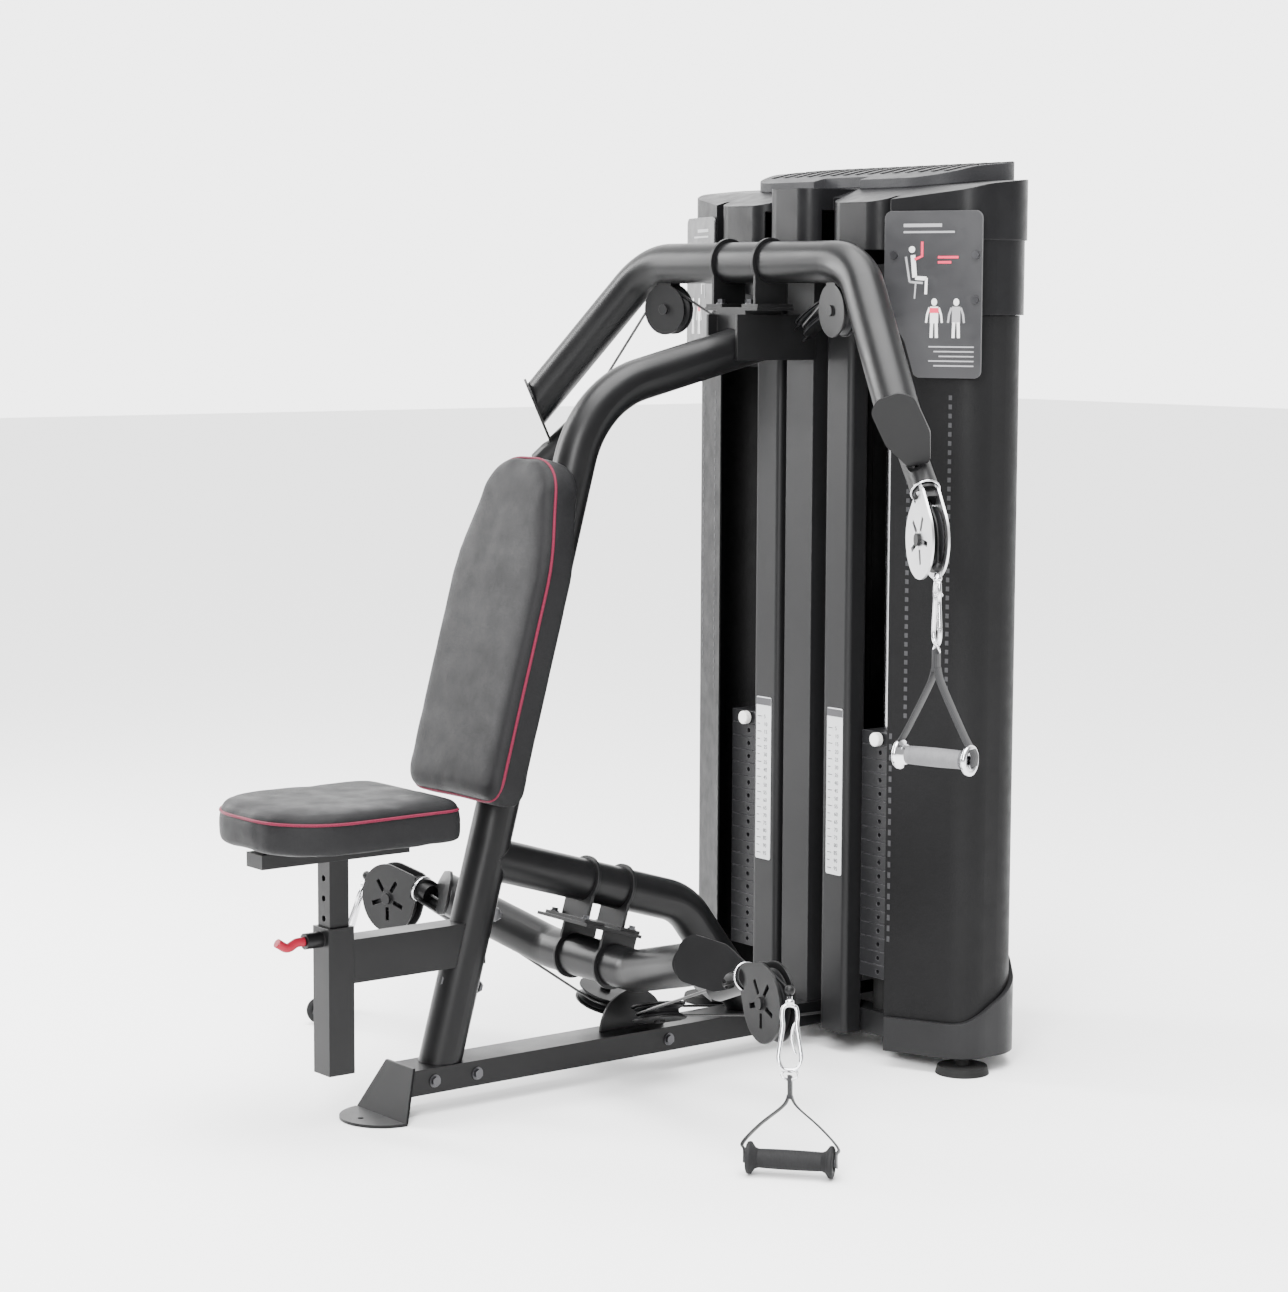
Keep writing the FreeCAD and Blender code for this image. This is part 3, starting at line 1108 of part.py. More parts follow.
# ---------------------------------------------------------------- pulley cheeks on the frame
def cheeks(label, toward, reach, radius, obstacles):
    """Two guard plates and an axle for a frame pulley, with lugs that reach the frame."""
    centre, axis, kind = AXLES[label]
    gap, thick = dim("pulley_width") / 2 + 1.5, 3
    toward = unit(toward - axis * toward.dot(axis))
    across = axis.cross(toward)
    axle = Part.makeCylinder(dim("axle_radius"), 2 * (gap + thick), centre - axis * (gap + thick), axis)
    pieces = []
    for sign in (-1, 1):
        base = centre + axis * (sign * (gap + thick / 2))
        plate = Part.makeCylinder(radius, thick, base - axis * (thick / 2), axis)
        lug = slab(base + toward * (reach / 2), toward, across, (reach, 34, thick))
        head = Part.makeCylinder(10, 5, centre + axis * (sign * (gap + thick)), axis * sign)
        pieces.append(plate.fuse([lug, head]))
    solid = axle.fuse(pieces).removeSplitter()
    for obstacle in obstacles:
        if solid.BoundBox.intersect(obstacle.BoundBox):
            solid = solid.cut(obstacle)
    return max(solid.Solids, key=lambda piece: piece.Volume)


doc.recompute()
frame_shape = NODES["tower_frame"].Shape
clamp_shape = NODES["upper_clamp"].Shape
down = Vector(0, 0, -1)
guards = []
for side, sign in SIDES.items():
    guards.append(cheeks(side + "_upper_guide_pulley", Vector(0, 0, 1), 70, 48, [upper_bar] + cable_tunnels))
    guards.append(cheeks(side + "_column_pulley", Vector(-sign, 0, 0), 70, 48,
                         [clamp_shape, frame_shape] + cable_tunnels))
    guards.append(cheeks(side + "_front_top_pulley", down, AXLES[side + "_front_top_pulley"][0].z
                         - dim("bar_top"), 46, cable_tunnels))
    guards.append(cheeks(side + "_rear_top_pulley", down, 1500 - lift - dim("bar_top"), 58, cable_tunnels))
    guards.append(cheeks(side + "_tower_foot_pulley", down, AXLES[side + "_tower_foot_pulley"][0].z
                         - beam_top, 34, cable_tunnels + [frame_shape]))
    guards.append(cheeks(side + "_base_pulley", Vector(-sign, 0, -0.36), 44, 50,
                         [Part.makeBox(82, 800, 83, Vector(-41, -300, 0)), brace_bar] + cable_tunnels))
moon = Part.makeCylinder(74, 5, Vector(-2.5, 35, beam_top - 2), Vector(1, 0, 0))
guards.append(moon.common(Part.makeBox(10, 200, 100, Vector(-5, -65, beam_top))))
node("pulley_guards", shaped("pulley_guards_shape", Part.makeCompound(guards)))


# ---------------------------------------------------------------- information plates and fasteners
def placard_frame(offset):
    """Axes of the slanted front corner of the tower, lifted off its face."""
    along = unit(Vector(dim("shroud_width") - dim("shroud_side"), dim("shroud_turn") - front_y - 2, 0))
    outward = Vector(along.y, -along.x, 0)
    return Vector(dim("shroud_side"), front_y + 2, 0) + outward * offset, along, outward


PLACARD_LOW, PLACARD_HIGH = 1280.0, 1579.0
PLACARD_START, PLACARD_END = -8.0, 184.0


def placard():
    """A rounded flat plate with a cut-away lower inner corner."""
    base, along, outward = placard_frame(15)
    spots = [(PLACARD_START + 62, PLACARD_LOW), (PLACARD_END, PLACARD_LOW), (PLACARD_END, PLACARD_HIGH),
             (PLACARD_START, PLACARD_HIGH), (PLACARD_START, PLACARD_LOW + 120),
             (PLACARD_START + 40, PLACARD_LOW + 70)]
    points = [base + along * run + Vector(0, 0, height) for run, height in spots]
    return prism(points, [14, 14, 14, 14, 40, 60], outward * 4)


labels = []
for sign in (1, -1):
    solid = placard()
    strip = Part.makeBox(44, 1, 317, Vector(82, front_y - 1, 340))
    for piece in (solid, strip):
        labels.append(piece if sign > 0 else mirror_shape(piece))
node("information_plates", shaped("information_plates_shape", Part.makeCompound(labels)))


def hex_head(at, axis, across=17.0, tall=7.0):
    """A hexagon bolt head with a washer under it."""
    axis = unit(axis)
    washer = Part.makeCylinder(across * 0.75, 2, at, axis)
    guide = Vector(1, 0, 0) if abs(axis.x) < 0.9 else Vector(0, 1, 0)
    side = unit(axis.cross(guide))
    corners = [at + axis * 2 + Rotation(axis, 60 * index).multVec(side) * (across / math.sqrt(3))
               for index in range(6)]
    return washer.fuse(Part.Face(Part.makePolygon(corners + corners[:1])).extrude(axis * tall))


fasteners = []
for height in (215, 340):
    axis_point = column_at(height)
    for sign in (-1, 1):
        head = hex_head(axis_point + pad_normal * (sign * (tube - 3)), pad_normal * sign)
        fasteners.append(head.cut(column_bar))
clamp_top = dim("upper_height") - 76
for x in (-42, 42):
    for y in (dim("upper_y") - 32, dim("upper_y") + 32):
        fasteners.append(hex_head(Vector(x, y, clamp_top), Vector(0, 0, 1), 13))
middle = brace_start + brace_along * 268
for shift in (-54, 54):
    for x in (-48, 48):
        at = middle + brace_along * shift + brace_down * LOWER_FLANGE + Vector(x, 0, 0)
        fasteners.append(hex_head(at, brace_down * -1, 11, 5))
base, along, outward = placard_frame(19)
for run, height in ((12, 1500), (172, 1500), (172, 1420)):
    screw = Part.makeCylinder(7, 4, base + along * run + Vector(0, 0, height), outward)
    fasteners += [screw, mirror_shape(screw)]
for y in (-430, -340, 90):
    bolt = hex_head(Vector(dim("beam_width") / 2, y, 60), Vector(1, 0, 0), 15, 5)
    fasteners += [bolt, mirror_shape(bolt)]
node("fasteners", shaped("fasteners_shape", Part.makeCompound(fasteners)))

# ---------------------------------------------------------------- checks and files
doc.recompute()
for item in doc.Objects:
    if "Invalid" in item.State or "Error" in item.State:
        raise RuntimeError("%s did not compute: %s" % (item.Label, item.State))
for label, piece in NODES.items():
    if piece.Shape.isNull() or not piece.Shape.isValid():
        raise RuntimeError("%s has no valid shape" % label)
    piece.Shape.exportStep(os.path.join("parts", label + ".step"))
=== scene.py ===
"""Looks for the dual-stack cable press: materials, upholstery, handles, plates and studio."""

import json
import math

import bmesh
import bpy
from mathutils import Matrix, Vector
from mathutils.bvhtree import BVHTree


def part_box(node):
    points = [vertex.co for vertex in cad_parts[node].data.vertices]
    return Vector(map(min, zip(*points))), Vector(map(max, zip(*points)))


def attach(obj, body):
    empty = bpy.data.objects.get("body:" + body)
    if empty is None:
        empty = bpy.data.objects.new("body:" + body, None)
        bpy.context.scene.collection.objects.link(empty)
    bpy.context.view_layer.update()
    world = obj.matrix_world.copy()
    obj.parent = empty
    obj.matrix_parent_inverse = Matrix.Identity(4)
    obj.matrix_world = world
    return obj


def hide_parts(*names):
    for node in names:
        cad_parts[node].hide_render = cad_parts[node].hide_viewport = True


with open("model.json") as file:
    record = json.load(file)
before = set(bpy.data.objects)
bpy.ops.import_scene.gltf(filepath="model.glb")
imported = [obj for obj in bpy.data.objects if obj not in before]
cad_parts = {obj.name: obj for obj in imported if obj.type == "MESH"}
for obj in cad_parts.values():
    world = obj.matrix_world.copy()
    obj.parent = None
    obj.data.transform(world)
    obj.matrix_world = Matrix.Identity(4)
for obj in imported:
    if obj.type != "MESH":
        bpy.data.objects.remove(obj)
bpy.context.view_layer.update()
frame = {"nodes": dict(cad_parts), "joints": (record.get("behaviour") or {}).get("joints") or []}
NODES = frame["nodes"]
JOINTS = {joint["name"]: joint for joint in frame["joints"]}
SIDES = {"right": 1, "left": -1}


# ---------------------------------------------------------------- geometry helpers
def on_side(side, vector):
    """The right-hand side's vector, or its mirror image on the left."""
    return Vector((vector[0] * side, vector[1], vector[2]))


def piece_from(name, verts, faces, material, body, smooth=True):
    """A mesh piece in the machine's own axes that rides on a CAD body."""
    mesh = bpy.data.meshes.new(name)
    mesh.from_pydata([tuple(v) for v in verts], [], faces)
    mesh.validate()
    bm = bmesh.new()
    bm.from_mesh(mesh)
    bmesh.ops.recalc_face_normals(bm, faces=bm.faces)
    bm.to_mesh(mesh)
    bm.free()
    mesh.materials.append(material)
    for polygon in mesh.polygons:
        polygon.use_smooth = smooth
    piece = bpy.data.objects.new(name, mesh)
    bpy.context.scene.collection.objects.link(piece)
    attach(piece, body)
    return piece


def soften(piece, width, segments=3, angle=40):
    """Round a piece's hard edges."""
    bevel = piece.modifiers.new("edge_round", "BEVEL")
    bevel.width = width
    bevel.segments = segments
    bevel.limit_method = "ANGLE"
    bevel.angle_limit = math.radians(angle)
    bevel.harden_normals = False
    return piece


def smooth_path(points, steps=8, closed=False):
    """Catmull-Rom curve through given points."""
    points = [Vector(point) for point in points]
    count = len(points)
    spans = count if closed else count - 1
    path = []
    for index in range(spans):
        if closed:
            p0, p1, p2, p3 = (points[(index + shift) % count] for shift in (-1, 0, 1, 2))
        else:
            p0 = points[max(index - 1, 0)]
            p1, p2 = points[index], points[index + 1]
            p3 = points[min(index + 2, count - 1)]
        for step in range(steps):
            t = step / steps
            path.append(0.5 * ((2 * p1) + (p2 - p0) * t + (2 * p0 - 5 * p1 + 4 * p2 - p3) * t * t
                               + (3 * p1 - p0 - 3 * p2 + p3) * t ** 3))
    if not closed:
        path.append(points[-1])
    return path


def sweep(name, path, section, wide, material, body, closed=False, scale=None):
    """Sweep a closed 2-D section along a path; wide(t) gives the section's first direction."""
    count, around = len(path), len(section)
    verts, faces = [], []
    for index, point in enumerate(path):
        if closed:
            tangent = path[(index + 1) % count] - path[index - 1]
        else:
            tangent = path[min(index + 1, count - 1)] - path[max(index - 1, 0)]
        tangent.normalize()
        t = index / max(count - 1, 1)
        first = Vector(wide(t))
        first = (first - tangent * first.dot(tangent)).normalized()
        second = tangent.cross(first)
        factor = scale(t) if scale else 1.0
        verts += [point + (first * a + second * b) * factor for a, b in section]
    rows = count if closed else count - 1
    for row in range(rows):
        start, after = row * around, ((row + 1) % count) * around
        for column in range(around):
            following = (column + 1) % around
            faces.append((start + column, start + following, after + following, after + column))
    if not closed:
        faces.append(tuple(range(around))[::-1])
        faces.append(tuple(range((count - 1) * around, count * around)))
    return piece_from(name, verts, faces, material, body)


def round_section(radius, sides=14):
    return [(radius * math.cos(2 * math.pi * k / sides), radius * math.sin(2 * math.pi * k / sides))
            for k in range(sides)]


def strap_section(width, thick):
    """A flat strap's section with rounded selvedges."""
    half, edge = width / 2, thick / 2
    right = [(half - edge + edge * math.cos(a), edge * math.sin(a)) for a in (-1.2, -0.6, 0, 0.6, 1.2)]
    left = [(-x, -y) for x, y in right]
    return right + left


def revolve(name, profile, origin, axis, material, body, sides=48):
    """Turn a profile of (along, radius) points round an axis."""
    axis = Vector(axis).normalized()
    guide = Vector((0, 0, 1)) if abs(axis.z) < 0.9 else Vector((1, 0, 0))
    first = axis.cross(guide).normalized()
    second = axis.cross(first)
    verts, faces = [], []
    for along, radius in profile:
        for k in range(sides):
            angle = 2 * math.pi * k / sides
            verts.append(Vector(origin) + axis * along
                         + (first * math.cos(angle) + second * math.sin(angle)) * radius)
    for row in range(len(profile) - 1):
        for k in range(sides):
            after = (k + 1) % sides
            faces.append((row * sides + k, row * sides + after,
                          (row + 1) * sides + after, (row + 1) * sides + k))
    faces.append(tuple(range(sides))[::-1])
    faces.append(tuple(range((len(profile) - 1) * sides, len(profile) * sides)))
    return piece_from(name, verts, faces, material, body)


def rounded_outline(points, radii, steps=10):
    """A closed 2-D outline whose corners are arcs."""
    outline = []
    count = len(points)
    for index in range(count):
        corner = Vector(points[index])
        before = (Vector(points[index - 1]) - corner).normalized()
        after = (Vector(points[(index + 1) % count]) - corner).normalized()
        radius = radii[index]
        if radius <= 0:
            outline.append(corner)
            continue
        half = (math.pi - before.angle(after)) / 2
        reach = radius * math.tan(half)
        centre = corner + (before + after).normalized() * (radius / math.cos(half))
        start, end = corner + before * reach - centre, corner + after * reach - centre
        turn = start.angle_signed(end)
        for step in range(steps + 1):
            angle = -turn * step / steps
            outline.append(centre + Vector((start.x * math.cos(angle) - start.y * math.sin(angle),
                                            start.x * math.sin(angle) + start.y * math.cos(angle))))
    return outline


def resample(outline, count):
    """Points at even spacing round a closed outline."""
    lengths = [(outline[(i + 1) % len(outline)] - outline[i]).length for i in range(len(outline))]
    total = sum(lengths)
    result, index, walked = [], 0, 0.0
    for k in range(count):
        target = total * k / count
        while walked + lengths[index] < target:
            walked += lengths[index]
            index += 1
        share = (target - walked) / max(lengths[index], 1e-9)
        result.append(outline[index].lerp(outline[(index + 1) % len(outline)], share))
    return result


def plate_from(name, outline, thick, to_world, material, body, lift=0.0):
    """A flat plate from a 2-D outline, to_world placing its plane."""
    count = len(outline)
    verts = [to_world @ Vector((p.x, p.y, lift)) for p in outline]
    verts += [to_world @ Vector((p.x, p.y, lift + thick)) for p in outline]
    faces = [tuple(range(count))[::-1], tuple(range(count, 2 * count))]
    faces += [(k, (k + 1) % count, (k + 1) % count + count, k + count) for k in range(count)]
    return piece_from(name, verts, faces, material, body, smooth=False)


# ---------------------------------------------------------------- materials
def shader(name, base, roughness, metallic=0.0, coat=0.0, sheen=0.0, specular=0.5):
    """A Principled material with its constants on the shader's own sockets."""
    material = bpy.data.materials.new(name)
    material.use_nodes = True
    tree = material.node_tree
    bsdf = tree.nodes["Principled BSDF"]
    bsdf.inputs["Base Color"].default_value = (*base, 1)
    bsdf.inputs["Roughness"].default_value = roughness
    bsdf.inputs["Metallic"].default_value = metallic
    bsdf.inputs["Coat Weight"].default_value = coat
    bsdf.inputs["Coat Roughness"].default_value = 0.25
    bsdf.inputs["Sheen Weight"].default_value = sheen
    bsdf.inputs["Specular IOR Level"].default_value = specular
    return material, tree, bsdf


def coordinates(tree, scale=(1, 1, 1)):
    source = tree.nodes.new("ShaderNodeTexCoord")
    mapping = tree.nodes.new("ShaderNodeMapping")
    mapping.inputs["Scale"].default_value = scale
    tree.links.new(source.outputs["Object"], mapping.inputs["Vector"])
    return mapping.outputs["Vector"]


def noise(tree, vector, scale, detail=3.0, roughness=0.55):
    node = tree.nodes.new("ShaderNodeTexNoise")
    node.inputs["Scale"].default_value = scale
    node.inputs["Detail"].default_value = detail
    node.inputs["Roughness"].default_value = roughness
    tree.links.new(vector, node.inputs["Vector"])
    return node.outputs["Fac"]


def voronoi(tree, vector, scale, feature="F1"):
    node = tree.nodes.new("ShaderNodeTexVoronoi")
    node.feature = feature
    node.inputs["Scale"].default_value = scale
    tree.links.new(vector, node.inputs["Vector"])
    return node.outputs["Distance"]


def mapped(tree, value, low, high, to_low, to_high):
    node = tree.nodes.new("ShaderNodeMapRange")
    for name, number in (("From Min", low), ("From Max", high), ("To Min", to_low), ("To Max", to_high)):
        node.inputs[name].default_value = number
    tree.links.new(value, node.inputs["Value"])
    return node.outputs["Result"]


def blend_colour(tree, factor, first, second):
    node = tree.nodes.new("ShaderNodeMix")
    node.data_type = "RGBA"
    tree.links.new(factor, node.inputs["Factor"])
    node.inputs["A"].default_value = (*first, 1)
    node.inputs["B"].default_value = (*second, 1)
    return node.outputs["Result"]


def combine(tree, operation, first, second):
    node = tree.nodes.new("ShaderNodeMath")
    node.operation = operation
    for socket, value in zip(node.inputs, (first, second)):
        if isinstance(value, (int, float)):
            socket.default_value = value
        else:
            tree.links.new(value, socket)
    return node.outputs["Value"]


def bump(tree, bsdf, height, strength, distance, under=None):
    node = tree.nodes.new("ShaderNodeBump")
    node.inputs["Strength"].default_value = strength
    node.inputs["Distance"].default_value = distance
    tree.links.new(height, node.inputs["Height"])
    if under:
        tree.links.new(under, node.inputs["Normal"])
    tree.links.new(node.outputs["Normal"], bsdf.inputs["Normal"])
    return node.outputs["Normal"]


def rounded_normal(tree, radius):
    """A softened edge's normal, and how strongly a point sits on an edge."""
    bevel = tree.nodes.new("ShaderNodeBevel")
    bevel.samples = 4
    bevel.inputs["Radius"].default_value = radius
    geometry = tree.nodes.new("ShaderNodeNewGeometry")
    dot = tree.nodes.new("ShaderNodeVectorMath")
    dot.operation = "DOT_PRODUCT"
    tree.links.new(bevel.outputs["Normal"], dot.inputs[0])
    tree.links.new(geometry.outputs["Normal"], dot.inputs[1])
    return bevel.outputs["Normal"], mapped(tree, dot.outputs["Value"], 0.97, 0.8, 0.0, 1.0)


def powder_coat(name, base, roughness=0.36):
    """Baked semi-gloss powder coat: orange peel, cloudy gloss, paler edges that are partly rubbed wear and
    partly a painted edge highlight.
    """
    material, tree, bsdf = shader(name, base, roughness, specular=0.2)
    place = coordinates(tree)
    normal, edge = rounded_normal(tree, 0.0016)
    # Paler edges: partly rubbed wear, partly a painted highlight on the edges.
    edge_wear_and_highlight = combine(tree, "MULTIPLY", edge, mapped(tree, noise(tree, place, 60), 0.42, 0.62, 0.1, 0.8))
    worn_and_lit_edge = tuple(0.03 + 1.6 * channel for channel in base)
    tree.links.new(blend_colour(tree, edge_wear_and_highlight, base, worn_and_lit_edge), bsdf.inputs["Base Color"])
    cloud = mapped(tree, noise(tree, place, 9, 4), 0.3, 0.7, roughness - 0.05, roughness + 0.07)
    tree.links.new(cloud, bsdf.inputs["Roughness"])
    bump(tree, bsdf, noise(tree, place, 700, 2), 0.16, 0.0006, normal)
    return material


def moulded(name, base, roughness=0.48, grain=420, depth=0.22):
    """Moulded plastic with a fine spark-eroded grain."""
    material, tree, bsdf = shader(name, base, roughness, specular=0.13)
    place = coordinates(tree)
    normal, edge = rounded_normal(tree, 0.003)
    shade = mapped(tree, noise(tree, place, 5, 3), 0.3, 0.7, 0.0, 1.0)
    pale = tuple(channel * 1.35 for channel in base)
    tree.links.new(blend_colour(tree, shade, base, pale), bsdf.inputs["Base Color"])
    tree.links.new(mapped(tree, noise(tree, place, 30), 0.3, 0.7, roughness - 0.06, roughness + 0.06),
                   bsdf.inputs["Roughness"])
    pits = combine(tree, "ADD", voronoi(tree, place, grain), noise(tree, place, grain * 1.7, 2))
    bump(tree, bsdf, pits, depth, 0.0007, normal)
    return material


def vinyl(name, base):
    """Upholstery vinyl: pebbled grain with creases, slightly paler on the pebbles."""
    material, tree, bsdf = shader(name, base, 0.5, sheen=0.0, specular=0.14)
    bsdf.inputs["Sheen Roughness"].default_value = 0.4
    place = coordinates(tree)
    cells = voronoi(tree, place, 520, "DISTANCE_TO_EDGE")
    pebble = mapped(tree, cells, 0.0, 0.22, 0.0, 1.0)
    dust = noise(tree, place, 4.0, 5)
    tone = combine(tree, "MULTIPLY", pebble, mapped(tree, dust, 0.3, 0.7, 0.55, 1.0))
    pale = tuple(channel * 1.5 for channel in base)
    tree.links.new(blend_colour(tree, tone, tuple(channel * 0.8 for channel in base), pale),
                   bsdf.inputs["Base Color"])
    tree.links.new(mapped(tree, noise(tree, place, 22, 3), 0.3, 0.7, 0.43, 0.58), bsdf.inputs["Roughness"])
    creases = combine(tree, "ADD", combine(tree, "MULTIPLY", pebble, 0.6),
                      combine(tree, "MULTIPLY", noise(tree, place, 45, 4), 0.8))
    bump(tree, bsdf, creases, 0.42, 0.0008)
    return material


def webbing(name, base):
    """Woven nylon strap: fine crossed ribs."""
    material, tree, bsdf = shader(name, base, 0.62, sheen=0.05, specular=0.3)
    place = coordinates(tree)
    ribs = []
    for direction in ("X", "Z"):
        wave = tree.nodes.new("ShaderNodeTexWave")
        wave.bands_direction = direction
        wave.inputs["Scale"].default_value = 190
        wave.inputs["Distortion"].default_value = 0.6
        tree.links.new(place, wave.inputs["Vector"])
        ribs.append(wave.outputs["Fac"])
    weave = combine(tree, "MULTIPLY", *ribs)
    tree.links.new(blend_colour(tree, weave, base, tuple(c * 2.2 + 0.01 for c in base)),
                   bsdf.inputs["Base Color"])
    bump(tree, bsdf, weave, 0.55, 0.0006)
    return material


def steel(name, base, roughness, streak=(1, 1, 60), metallic=1.0):
    """Drawn or polished steel with fine lines and handling marks."""
    material, tree, bsdf = shader(name, base, roughness, metallic=metallic)
    lines = noise(tree, coordinates(tree, streak), 40, 4)
    smudge = noise(tree, coordinates(tree), 35, 4)
    tree.links.new(mapped(tree, smudge, 0.3, 0.7, max(roughness - 0.05, 0.04), roughness + 0.1),
                   bsdf.inputs["Roughness"])
    dark = tuple(channel * 0.82 for channel in base)
    tree.links.new(blend_colour(tree, lines, dark, base), bsdf.inputs["Base Color"])
    bump(tree, bsdf, lines, 0.06, 0.0004)
    return material


def cast(name, base):
    """Painted cast iron plates: faint pour texture, paler edges that are partly rubbed wear and partly a
    painted edge highlight.
    """
    material, tree, bsdf = shader(name, base, 0.5, specular=0.3)
    place = coordinates(tree)
    normal, edge = rounded_normal(tree, 0.0018)
    # Paler edges: partly rubbed wear, partly a painted highlight on the edges.
    edge_wear_and_highlight = combine(tree, "MULTIPLY", edge, noise(tree, place, 80))
    tree.links.new(blend_colour(tree, edge_wear_and_highlight, base, (0.16, 0.16, 0.17)), bsdf.inputs["Base Color"])
    bump(tree, bsdf, combine(tree, "ADD", noise(tree, place, 260, 4), noise(tree, place, 40, 2)),
         0.25, 0.001, normal)
    return material


def braided(name, base):
    """A nylon-jacketed cable: the strands show faintly through the jacket."""
    material, tree, bsdf = shader(name, base, 0.32, coat=0.3)
    wave = tree.nodes.new("ShaderNodeTexWave")
    wave.bands_direction = "DIAGONAL"
    wave.inputs["Scale"].default_value = 120
    tree.links.new(coordinates(tree), wave.inputs["Vector"])
    tree.links.new(blend_colour(tree, wave.outputs["Fac"], base, tuple(c * 2.4 for c in base)),
                   bsdf.inputs["Base Color"])
    bump(tree, bsdf, wave.outputs["Fac"], 0.25, 0.0004)
    return material


def foam(name, base):
    """Ribbed rubber or foam hand grip."""
    material, tree, bsdf = shader(name, base, 0.7, specular=0.2)
    place = coordinates(tree)
    grain = combine(tree, "ADD", noise(tree, place, 520, 3), voronoi(tree, place, 800))
    tree.links.new(blend_colour(tree, noise(tree, place, 60, 4), base, tuple(c * 1.5 for c in base)),
                   bsdf.inputs["Base Color"])
    bump(tree, bsdf, grain, 0.4, 0.0007)
    return material


def printed(name, base, roughness=0.42):
    """Printed film on a flat plate: even colour, faint unevenness and fingerprints."""
    material, tree, bsdf = shader(name, base, roughness, coat=0.2)
    place = coordinates(tree)
    tree.links.new(blend_colour(tree, noise(tree, place, 12, 4), tuple(c * 0.92 for c in base), base),
                   bsdf.inputs["Base Color"])
    tree.links.new(mapped(tree, noise(tree, place, 40, 3), 0.3, 0.7, roughness - 0.06, roughness + 0.08),
                   bsdf.inputs["Roughness"])
    bump(tree, bsdf, noise(tree, place, 600, 2), 0.05, 0.0003)
    return material


M = {
    "frame": powder_coat("powder_coat_black", (0.004, 0.004, 0.0043), 0.34),
    "bracket": powder_coat("powder_coat_bracket", (0.005, 0.005, 0.0053), 0.4),
    "tower": powder_coat("powder_coat_tower", (0.008, 0.008, 0.0085), 0.4),
    "shroud": moulded("shroud_grain", (0.0045, 0.0045, 0.0048), 0.5),
    "cap": moulded("cap_grain", (0.005, 0.005, 0.0055), 0.38, 600, 0.12),
    "cover": moulded("cover_grain", (0.012, 0.012, 0.0125), 0.42, 500, 0.15),
    "tread": moulded("tread_insert", (0.022, 0.022, 0.0235), 0.5, 300, 0.3),
    "nylon": moulded("nylon_sheave", (0.006, 0.006, 0.0065), 0.42, 500, 0.12),
    "vinyl": vinyl("pad_vinyl", (0.006, 0.006, 0.0065)),
    "piping": vinyl("piping_crimson", (0.1, 0.007, 0.022)),
    "web": webbing("strap_webbing", (0.012, 0.012, 0.013)),
    "chrome": steel("polished_steel", (0.78, 0.78, 0.8), 0.12),
    "rod": steel("ground_rod", (0.7, 0.7, 0.72), 0.16),
    "bolt": steel("black_zinc", (0.09, 0.09, 0.095), 0.35),
    "iron": cast("stack_iron", (0.01, 0.01, 0.011)),
    "cable": braided("cable_jacket", (0.012, 0.012, 0.012)),
    "rubber": foam("foot_rubber", (0.006, 0.006, 0.006)),
    # Bright steel for the upper pulleys' cheeks: a painted reflection on dark-painted plates.
    "cheek_reflection": steel("cheek_reflection_steel", (0.72, 0.72, 0.73), 0.34),
    "dash": moulded("shroud_dash", (0.035, 0.035, 0.037), 0.5),
    "grip": foam("grip_foam", (0.12, 0.12, 0.124)),
    "grip_dark": foam("grip_rubber", (0.008, 0.008, 0.0085)),
    "red": moulded("lever_red", (0.2, 0.008, 0.02), 0.35, 500, 0.1),
    "placard": printed("placard_film", (0.025, 0.025, 0.027), 0.4),
    "white": printed("print_white", (0.75, 0.75, 0.75)),
    "grey": printed("print_grey", (0.32, 0.32, 0.33)),
    "accent": printed("print_accent", (0.7, 0.03, 0.09)),
    "strip": printed("strip_film", (0.55, 0.56, 0.57)),
    "knob": moulded("knob_white", (0.72, 0.72, 0.7), 0.35, 500, 0.08),
}

NODE_LOOKS = {
    "frame": ["front_foot", "base_beam", "column_tube", "brace_tube", "seat_arm", "upper_beam", "lower_beam",
              "back_mount", "seat_carrier"],
    "bracket": ["upper_clamp", "lower_clamp", "pulley_guards"],
    "tower": ["tower_frame"],
    "shroud": ["left_shroud", "right_shroud", "rear_panel"],
    "cap": ["top_cap"],
    "tread": ["top_panel"],
    "cover": ["base_covers"],
    "cable": ["machine_cables", "left_lift_cable", "right_lift_cable"],
    "rod": ["guide_rods"],
    "bolt": ["fasteners"],
    "iron": ["weight_plates", "left_stack_head", "right_stack_head"],
    "rubber": ["rubber_feet_and_bumpers"],
    "red": ["seat_pin"],
    "knob": ["left_selector_pin", "right_selector_pin"],
}
for name in NODES:
    if name.endswith("_bracket"):
        NODE_LOOKS["bracket"].append(name)
    if name.endswith("_pulley"):
        NODE_LOOKS.setdefault("nylon", []).append(name)
for look, names in NODE_LOOKS.items():
    for name in names:
        NODES[name].data.materials.clear()
        NODES[name].data.materials.append(M[look])


def paint_cheek_reflections(label):
    """The upper pulleys' slotted cheeks are coloured bright steel as a painted reflection, standing in for
    the glancing reflection on plates of the same dark paint; the block, axle and cable end stay dark.
    """
    piece = NODES[label + "_bracket"]
    turn = JOINTS[label + "_pulley_turn"]
    centre, axis = Vector(turn["pos_m"]), Vector(turn["axis"]).normalized()
    # The cheek faces get the bright steel: a painted reflection.
    piece.data.materials.append(M["cheek_reflection"])
    for polygon in piece.data.polygons:
        offset = piece.matrix_world @ polygon.center - centre
        out = abs(offset.dot(axis))
        from_axis = (offset - axis * offset.dot(axis)).length
        if 0.0119 < out < 0.0161 and from_axis > 0.0112:
            polygon.material_index = 1


for side_name in SIDES:
    paint_cheek_reflections("upper_" + side_name)


# ---------------------------------------------------------------- upholstery
CLOTH_FRAMES = 20
CLOTH_SHARE = 0.3
SEAM_WIDTH, SEAM_DEPTH = 0.0045, 0.0028


def reach_of(outline, centre, direction):
    """How far the outline stands from the centre towards a direction, roughly."""
    direction = direction.normalized()
    return max((p - centre).dot(direction) for p in outline)


